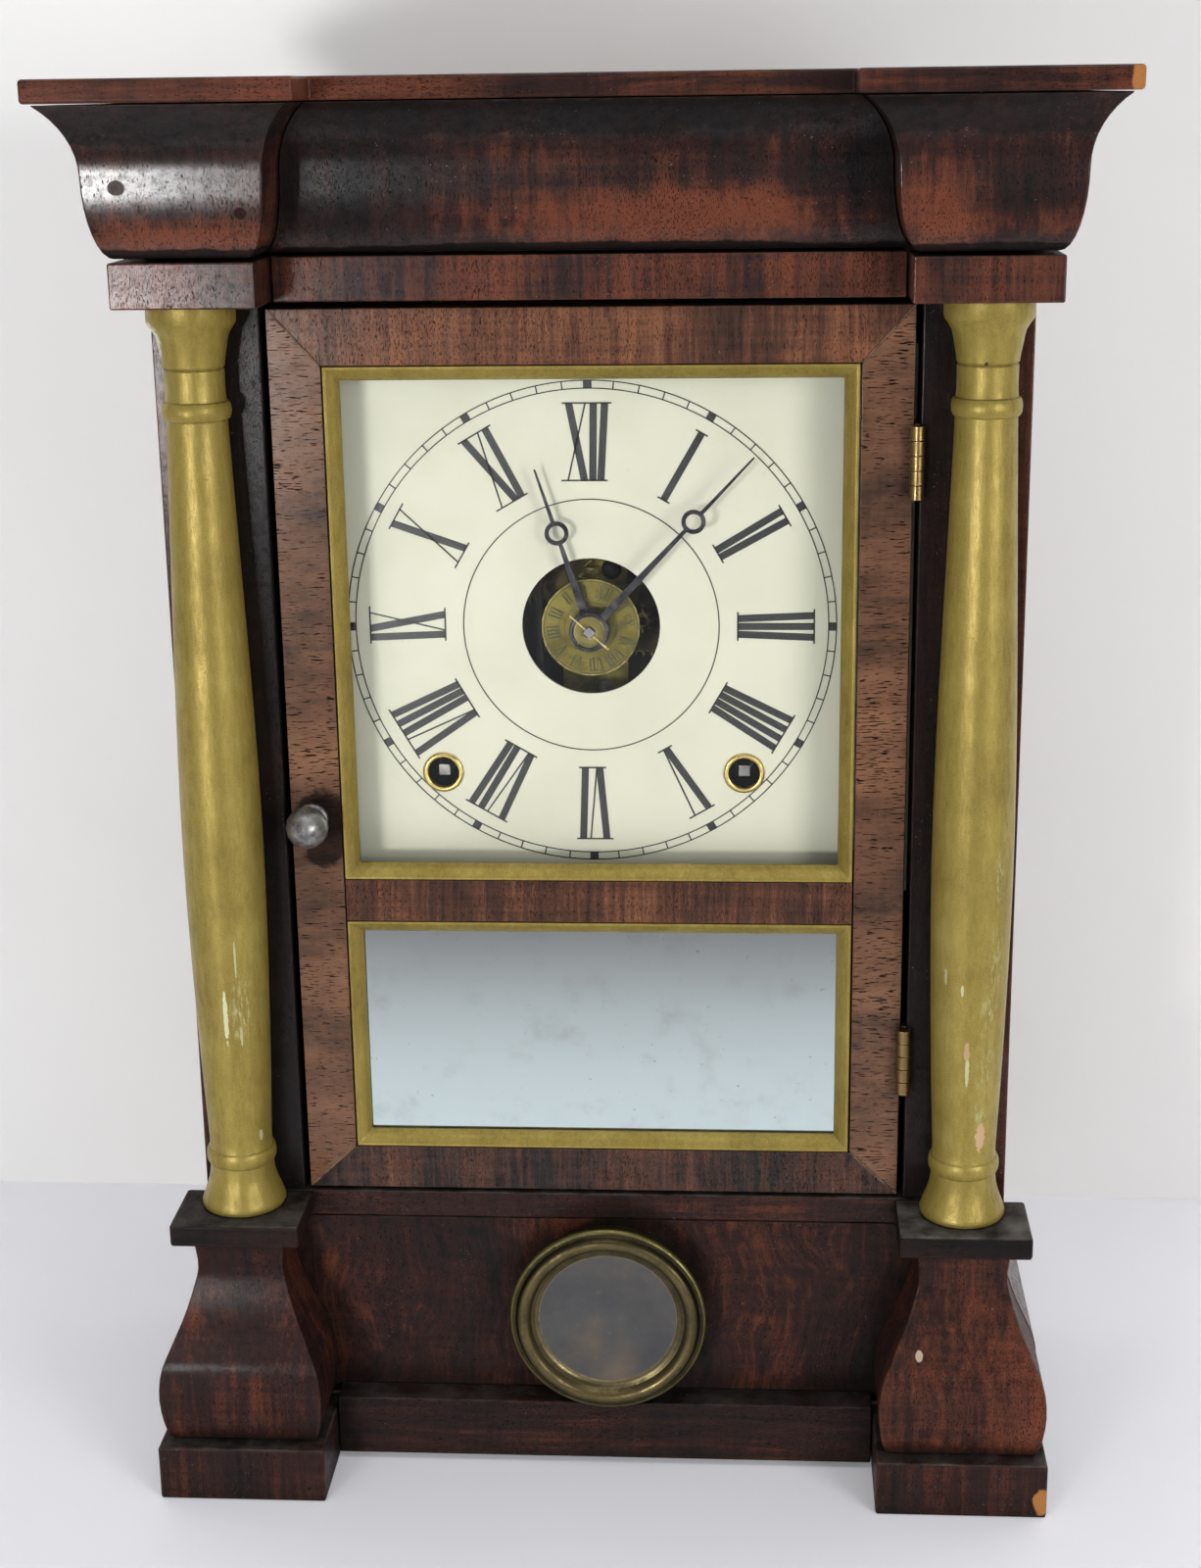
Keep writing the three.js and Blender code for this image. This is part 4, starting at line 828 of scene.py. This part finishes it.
# dial, winding eyelets, hands and alarm disc
sheet = {"wide": 188, "tall": 158, "z": 254.8, "thick": 0.8, "steps": 112, "opening": (-1.7, 254.8, 19.7),
         "windingX": (-45.4, 42), "windingZ": 211.5, "windingRadius": 5.2}
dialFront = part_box("dial_plate")[0].y
upright = Matrix.Rotation(math.pi / 2, 4, "X")
bm = bmesh.new()
corners = [bm.verts.new((sx * sheet["wide"] / 2 * mm, dialFront, (sheet["z"] + sz * sheet["tall"] / 2) * mm))
           for sx, sz in ((-1, -1), (1, -1), (1, 1), (-1, 1))]
for first, second in zip(corners, corners[1:] + corners[:1]):
    bm.edges.new((first, second))
windingHoles = [(x, sheet["windingZ"], sheet["windingRadius"]) for x in sheet["windingX"]]
for x, z, radius in (sheet["opening"], *windingHoles):
    bmesh.ops.create_circle(bm, cap_ends=False, segments=sheet["steps"], radius=radius * mm,
                            matrix=Matrix.Translation((x * mm, dialFront, z * mm)) @ upright)
bmesh.ops.triangle_fill(bm, use_beauty=True, use_dissolve=False, edges=bm.edges[:], normal=(0, -1, 0))
raised = bmesh.ops.extrude_face_region(bm, geom=bm.faces[:])["geom"]
bmesh.ops.translate(bm, vec=(0, sheet["thick"] * mm, 0),
                    verts=[part for part in raised if isinstance(part, bmesh.types.BMVert)])
bmesh.ops.recalc_face_normals(bm, faces=bm.faces)
newPiece("dialPlate", bm, "case", "dial", ["dial_plate"])
dial = {
    "x": -1.7, "z": 254.8, "outer": 69.7, "track": 2.2, "line": 0.32, "inner": 36.5, "tick": 0.36,
    "block": 2.4, "numeralOut": 63.4, "numeralIn": 41.8, "thick": 2.05, "thin": 0.45, "serif": 0.45,
    "reach": 1.9, "inkDepth": 0.12, "bottomShare": 0.72, "inkAhead": 0.08, "ringAhead": 0.06, "steps": 180,
}
numerals = ("XII", "I", "II", "III", "IIII", "V", "VI", "VII", "VIII", "IX", "X", "XI")
glyphWidths = {"I": 3.15, "V": 6.3, "X": 6.3}


def strokes(word, size):
    # each stroke is (outer offset, inner offset, thick or thin)
    made = []
    at = -sum(glyphWidths[sign] for sign in word) / 2
    for sign in word:
        wide = glyphWidths[sign]
        if sign == "I":
            middle = at + wide / 2
            made.append((middle, middle * size["bottomShare"], "thick"))
        if sign == "V":
            made.append((at + 1, at + wide / 2 - 0.3, "thick"))
            made.append((at + wide - 0.6, at + wide / 2 + 0.5, "thin"))
        if sign == "X":
            made.append((at + 1, at + wide - 1.2, "thick"))
            made.append((at + wide - 0.7, at + 0.5, "thin"))
        at += wide
    return made


def inkBar(bm, turn, face, start, end, width, depth):
    # a flat bar on the dial from start to end, both (across, out) in millimetres before the turn
    a, b = Vector(start), Vector(end)
    middle, run = (a + b) / 2, b - a
    lean = math.atan2(run.x, run.y)
    scale = Matrix.Diagonal((width * mm, depth * mm, run.length * mm, 1))
    place = Matrix.Translation((middle.x * mm, 0, middle.y * mm)) @ Matrix.Rotation(lean, 4, "Y") @ scale
    bmesh.ops.create_cube(bm, size=1, matrix=face @ Matrix.Rotation(turn, 4, "Y") @ place)


def inkRing(bm, at, radius, width, y, depth, steps):
    inner, outer = radius - width / 2, radius + width / 2
    corners = [(inner, 0), (outer, 0), (outer, depth), (inner, depth)]
    points = [bm.verts.new((at.x + r * mm, y + d * mm, at.z)) for r, d in corners]
    loop = [bm.edges.new((points[i], points[(i + 1) % 4])) for i in range(4)]
    bmesh.ops.spin(bm, geom=points + loop, cent=at, axis=(0, 1, 0), angle=math.tau, steps=steps,
                   use_merge=True)


def drawNumeral(bm, face, turn, word, size, scale):
    made = strokes(word, size)
    top, foot = size["numeralOut"], size["numeralIn"]
    for outer, inner, weight in made:
        inkBar(bm, turn, face, (inner * scale, foot), (outer * scale, top), size[weight], size["inkDepth"])
    for level, ends in ((top, [s[0] for s in made]), (foot, [s[1] for s in made])):
        left, right = min(ends) * scale - size["reach"], max(ends) * scale + size["reach"]
        inkBar(bm, turn, face, (left, level), (right, level), size["serif"], size["inkDepth"])


def dialPoint(y):
    return Vector((dial["x"] * mm, y, dial["z"] * mm))


inkY = dialFront - dial["inkAhead"] * mm
dialCentre = dialPoint(inkY)
face = Matrix.Translation(dialCentre)
bm = bmesh.new()
for radius in (dial["outer"], dial["outer"] - dial["track"], dial["inner"]):
    inkRing(bm, dialCentre, radius, dial["line"], inkY - dial["ringAhead"] * mm, dial["inkDepth"],
            dial["steps"])
for minute in range(60):
    turn = math.tau * minute / 60
    width = dial["tick"] if minute % 5 else dial["block"]
    inkBar(bm, turn, face, (0, dial["outer"] - dial["track"]), (0, dial["outer"]), width, dial["inkDepth"])
for hour, word in enumerate(numerals):
    drawNumeral(bm, face, math.tau * hour / 12, word, dial, 1)
bmesh.ops.recalc_face_normals(bm, faces=bm.faces)
newPiece("dialNumerals", bm, "case", "ink")

eyelet = {
    "steps": 48,
    "profile": [(4.5, -0.5), (4.6, -0.72), (4.85, -0.86), (5.2, -0.9), (5.5, -0.82), (5.8, -0.6),
                (5.95, -0.35), (5.95, -0.2), (4.9, -0.2), (4.9, 1.2), (4.5, 1.2), (4.5, -0.5)],
}
for word, x in zip(("left", "right"), sheet["windingX"]):
    turnedPiece(word + "WindingEyelet", "case", "brass", "eyelet", **eyelet, x=x, y=dialFront,
                z=sheet["windingZ"], replaced=[word + "_winding_eyelet"])

steelWork = {
    "minute_hand": ("hands", 0.00025), "hour_hand": ("hands", 0.00025), "centre_arbor": ("steel", 0.0002),
    "time_winding_arbor": ("steel", 0.0003), "strike_winding_arbor": ("steel", 0.0003),
}
for node, (finish, edge) in steelWork.items():
    dressed(node, finish, edge, sharp=40)

hub = {
    "steps": 48, "minuteFront": 9.6, "pinLength": 14.6, "pinStart": 0.3, "pinEnd": 0.2, "pinTurn": -48,
    "pinAhead": 0.62, "pinSides": 16,
    "washer": [(1.75, -0.02), (1.75, -0.2), (2, -0.26), (4.25, -0.26), (4.45, -0.16), (4.5, -0.02),
               (1.75, -0.02)],
    "ring": [(4.55, -0.02), (4.6, -0.34), (4.85, -0.46), (5.15, -0.46), (5.45, -0.34), (5.6, -0.02),
             (4.55, -0.02)],
}
hubY = frontY + hub["minuteFront"] * mm
hubPlace = {"x": dial["x"], "y": hubY, "z": dial["z"], "steps": hub["steps"]}
turnedPiece("handWasher", "minute_work", "brass", "washer", hub["washer"], **hubPlace)
turnedPiece("handHubRing", "minute_work", "steel", "hands", hub["ring"], **hubPlace)
bm = bmesh.new()
pinPlace = Matrix.Translation(dialPoint(hubY - hub["pinAhead"] * mm))
pinTilt = Matrix.Rotation(math.radians(hub["pinTurn"]), 4, "Y")
bmesh.ops.create_cone(bm, cap_ends=True, segments=hub["pinSides"], radius1=hub["pinStart"] * mm,
                      radius2=hub["pinEnd"] * mm, depth=hub["pinLength"] * mm, matrix=pinPlace @ pinTilt)
newPiece("handTaperPin", bm, "minute_work", "pin", bevelWidth=0.0001)

dressed("alarm_disc", "disc", 0.0002, sharp=40)
# the alarm disc's stamped numerals and rings are drawn as flat dark marks: painted shade of their relief
alarm = {
    "numeralOut": 12.5, "numeralIn": 8.9, "thick": 0.46, "thin": 0.18, "serif": 0.16, "reach": 0.3,
    "inkDepth": 0.08, "bottomShare": 0.8, "spread": 0.36, "inkAhead": 0.05, "turn": 0.4,
    "rings": (7.4, 13.3), "line": 0.22, "ringAhead": 0.09, "steps": 96,
}
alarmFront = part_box("alarm_disc")[0].y
alarmFace = Matrix.Translation(dialPoint(alarmFront - alarm["inkAhead"] * mm))
bm = bmesh.new()
for hour, word in enumerate(numerals):
    drawNumeral(bm, alarmFace, -math.tau * hour / 12 + alarm["turn"], word, alarm, alarm["spread"])
for radius in alarm["rings"]:
    inkRing(bm, dialPoint(alarmFront), radius, alarm["line"], alarmFront - alarm["ringAhead"] * mm,
            alarm["inkDepth"], alarm["steps"])
bmesh.ops.recalc_face_normals(bm, faces=bm.faces)
newPiece("alarmNumerals", bm, "alarm_setting", "stamped")
print("dial drawn")


# movement, pendulum and gong, seen through the dial and from an open door
for node in ("movement_front_plate", "movement_back_plate"):
    dressed(node, "plate", 0.0003, sharp=40)
for node in ("hour_wheel", "minute_wheel", "escape_wheel"):
    dressed(node, "wheel", 0, sharp=40)
for node in ("time_mainspring", "strike_mainspring", "wire_gong", "verge", "strike_hammer", "pendulum_rod"):
    dressed(node, "rod" if node == "pendulum_rod" else "steel", 0, sharp=40)
plateFront = frontY + 34 * mm
plateFittings = {
    "screw": {"x": 3.3, "z": 268, "steps": 32, "finish": "hands",
              "profile": [(0, -2.3), (1, -2.2), (2, -1.75), (2.7, -1), (3, 0), (0, 0)]},
    "post": {"x": 1.1, "z": 233, "steps": 32, "finish": "steel",
             "profile": [(0, -2), (0.7, -1.9), (0.95, -1.5), (0.95, -0.7), (1.7, -0.7), (1.9, -0.4), (1.9, 0),
                         (0, 0)]},
}
for word, fitting in plateFittings.items():
    turnedPiece("plate" + word.title(), "case", "steel", y=plateFront, **fitting)
bob = {
    "x": -16.7, "y": 22, "z": 130, "steps": 64,
    "half": [(0, -4.5), (3.5, -4.47), (7, -4.25), (10.5, -3.75), (13.5, -3.1), (16.2, -2.3), (18.4, -1.5),
             (19.6, -0.95), (20, -0.8)],
}
profile = bob["half"] + [(r, -h) for r, h in reversed(bob["half"])]
turnedPiece("pendulumBob", "pendulum", "brass", "bob", profile, bob["x"], frontY + bob["y"] * mm, bob["z"],
            bob["steps"], ["pendulum_bob"])
print("movement dressed")

# glue blocks under the floor board, behind the ends of the skirt
cornerBlock = {"near": 79, "far": 99, "front": 0.6, "back": 14, "low": 3, "top": 17.2}
start, end = (Vector([cornerBlock[word] for word in words]) * mm + Vector((0, frontY, 0))
              for words in (("near", "front", "low"), ("far", "back", "top")))
for side, word in ((-1, "Left"), (1, "Right")):
    middle = (start + end) / 2
    middle.x *= side
    bm = bmesh.new()
    size = Matrix.Diagonal((*(end - start), 1))
    bmesh.ops.create_cube(bm, size=1, matrix=Matrix.Translation(middle) @ size)
    newPiece("cornerBlock" + word, bm, "case", "pineFloor", bevelWidth=pineEdge)
print("glue blocks made")


# floor and wall, pale and plain
stage = {
    "wallY": 0.156, "wide": 3.2, "deep": 2.6, "tall": 2.4, "floor": (0.93, 0.932, 0.975),
    "wall": (0.94, 0.932, 0.915), "floorLift": 0.12, "wallLift": 0.02,
}
cloth = {
    "lying": (0.035, 0.033, 0.032), "hung": (0.36, 0.37, 0.39), "near": -0.185, "full": -0.68, "far": -2.3,
    "tall": 1, "above": 0.002,
}


def stageMaterial(name, base, lift, seeThroughBack):
    material, shader, place = newMaterial(name)
    colour = mixColour(remap(noise(place, 9, 3), 0.3, 0.7), base, tuple(0.975 * c for c in base))
    setSurface(shader, colour=colour, roughness=0.75, specular=0.25)
    setBump(shader, noise(place, 900, 2), 0.05, 0.0004)
    # the pale backdrop is lifted a little for rays that show it, not for the light it gives
    path = addNode(place, "LightPath").outputs
    shown = most(path["Is Camera Ray"], most(path["Is Glossy Ray"], path["Is Transmission Ray"]))
    setSurface(shader, glow=base, glowStrength=times(shown, lift))
    if seeThroughBack:
        back = addNode(place, "NewGeometry").outputs["Backfacing"]
        setShader(back, shader, addNode(place, "BsdfTransparent"))
    return material


def stagePlane(name, matrix, material):
    bm = bmesh.new()
    bmesh.ops.create_grid(bm, x_segments=1, y_segments=1, size=0.5, matrix=matrix)
    plane = newObject(name, bm, material)
    return plane


wideScale = Matrix.Diagonal((stage["wide"] * 2, stage["deep"] * 2, 1, 1))
stagePlane("floor", wideScale, stageMaterial("paleFloor", stage["floor"], stage["floorLift"], False))
wallScale = Matrix.Diagonal((stage["wide"] * 2, stage["tall"], 1, 1))
wallPlace = Matrix.Translation((0, stage["wallY"], stage["tall"] / 2)) @ upright
stagePlane("wall", wallPlace @ wallScale, stageMaterial("paleWall", stage["wall"], stage["wallLift"], True))


def clothMaterial(name, tint, axis, clearAt, fullAt):
    # dark cloth that fades out towards the clock
    material, shader, place = newMaterial(name)
    setSurface(shader, colour=tint, roughness=0.9, specular=0)
    setShader(remap(splitAxes(place)[axis], clearAt, fullAt), addNode(place, "BsdfTransparent"), shader)
    return material


# a dark cloth before the clock, shown in polished surfaces only
lyingPlace = Matrix.Translation((0, (cloth["near"] + cloth["far"]) / 2, cloth["above"]))
lyingScale = Matrix.Diagonal((stage["wide"], cloth["near"] - cloth["far"], 1, 1))
hungPlace = Matrix.Translation((0, cloth["far"], cloth["tall"] / 2)) @ upright
hungScale = Matrix.Diagonal((stage["wide"], cloth["tall"], 1, 1))
cloths = (
    stagePlane("darkClothLying", lyingPlace @ lyingScale,
               clothMaterial("clothLying", cloth["lying"], 1, cloth["near"], cloth["full"])),
    stagePlane("darkClothHung", hungPlace @ hungScale,
               clothMaterial("clothHung", cloth["hung"], 2, cloth["tall"], cloth["tall"] / 2)),
)
for plane in cloths:
    for ray in ("camera", "diffuse", "transmission", "shadow"):
        setattr(plane, "visible_" + ray, False)


# studio light
lamps = {
    "leftPanel": {"place": (-0.57, -1.3, 0.185), "aim": (-0.05, 0, 0.3), "size": (0.28, 0.15),
                  "power": 8.2, "spread": 180},
    "rightPanel": {"place": (0.9, -1.1, 0.42), "aim": (0.05, 0, 0.3), "size": (0.5, 0.5),
                   "power": 8.2, "spread": 180},
    "topPanel": {"place": (0, -0.42, 1.2), "aim": (0, -0.3, 0), "size": (1.1, 0.6),
                 "power": 0.95, "spread": 90},
}
for name, lamp in lamps.items():
    data = bpy.data.lights.new(name, "AREA")
    data.shape = "RECTANGLE"
    data.size, data.size_y = lamp["size"]
    data.energy = lamp["power"]
    data.spread = math.radians(lamp["spread"])
    panel = bpy.data.objects.new(name, data)
    panel.location = lamp["place"]
    panel.rotation_euler = (Vector(lamp["aim"]) - Vector(lamp["place"])).to_track_quat("-Z", "Y").to_euler()
    scene.collection.objects.link(panel)

sky = {"colour": (0.97, 0.975, 1, 1), "light": 0.31, "polished": 0.42, "camera": 0.6}
world = bpy.data.worlds.new("studio")
scene.world = world
world.use_nodes = True
background = world.node_tree.nodes["Background"]
background.inputs["Color"].default_value = sky["colour"]
path = addNode(background, "LightPath").outputs
polished = most(path["Is Glossy Ray"], path["Is Transmission Ray"])
fill = remap(polished, 0, 1, sky["light"], sky["polished"])
link(most(fill, times(path["Is Camera Ray"], sky["camera"])), background.inputs["Strength"])
scene.view_settings.view_transform = "Standard"

# camera at the photograph's viewpoint
shot = {"place": (0.04523, -0.6664, 0.40217), "pitch": 16.27, "yaw": 3.655, "roll": -0.783, "lens": 54.62,
        "sensor": 36, "shiftX": -9.2 / 1600, "shiftY": -2.2 / 1600}
pitch, yaw, roll = (math.radians(shot[word]) for word in ("pitch", "yaw", "roll"))
turn = Matrix.Rotation(yaw, 4, "Z") @ Matrix.Rotation(math.pi / 2 - pitch, 4, "X")
turn = turn @ Matrix.Rotation(roll, 4, "Z")
cameraData = bpy.data.cameras.new("photoCamera")
cameraData.sensor_fit = "VERTICAL"
cameraData.sensor_height = shot["sensor"]
cameraData.lens = shot["lens"]
cameraData.shift_x = shot["shiftX"]
cameraData.shift_y = shot["shiftY"]
camera = bpy.data.objects.new("photoCamera", cameraData)
camera.matrix_world = Matrix.Translation(shot["place"]) @ turn
scene.collection.objects.link(camera)
scene.camera = camera

print("clock finished")
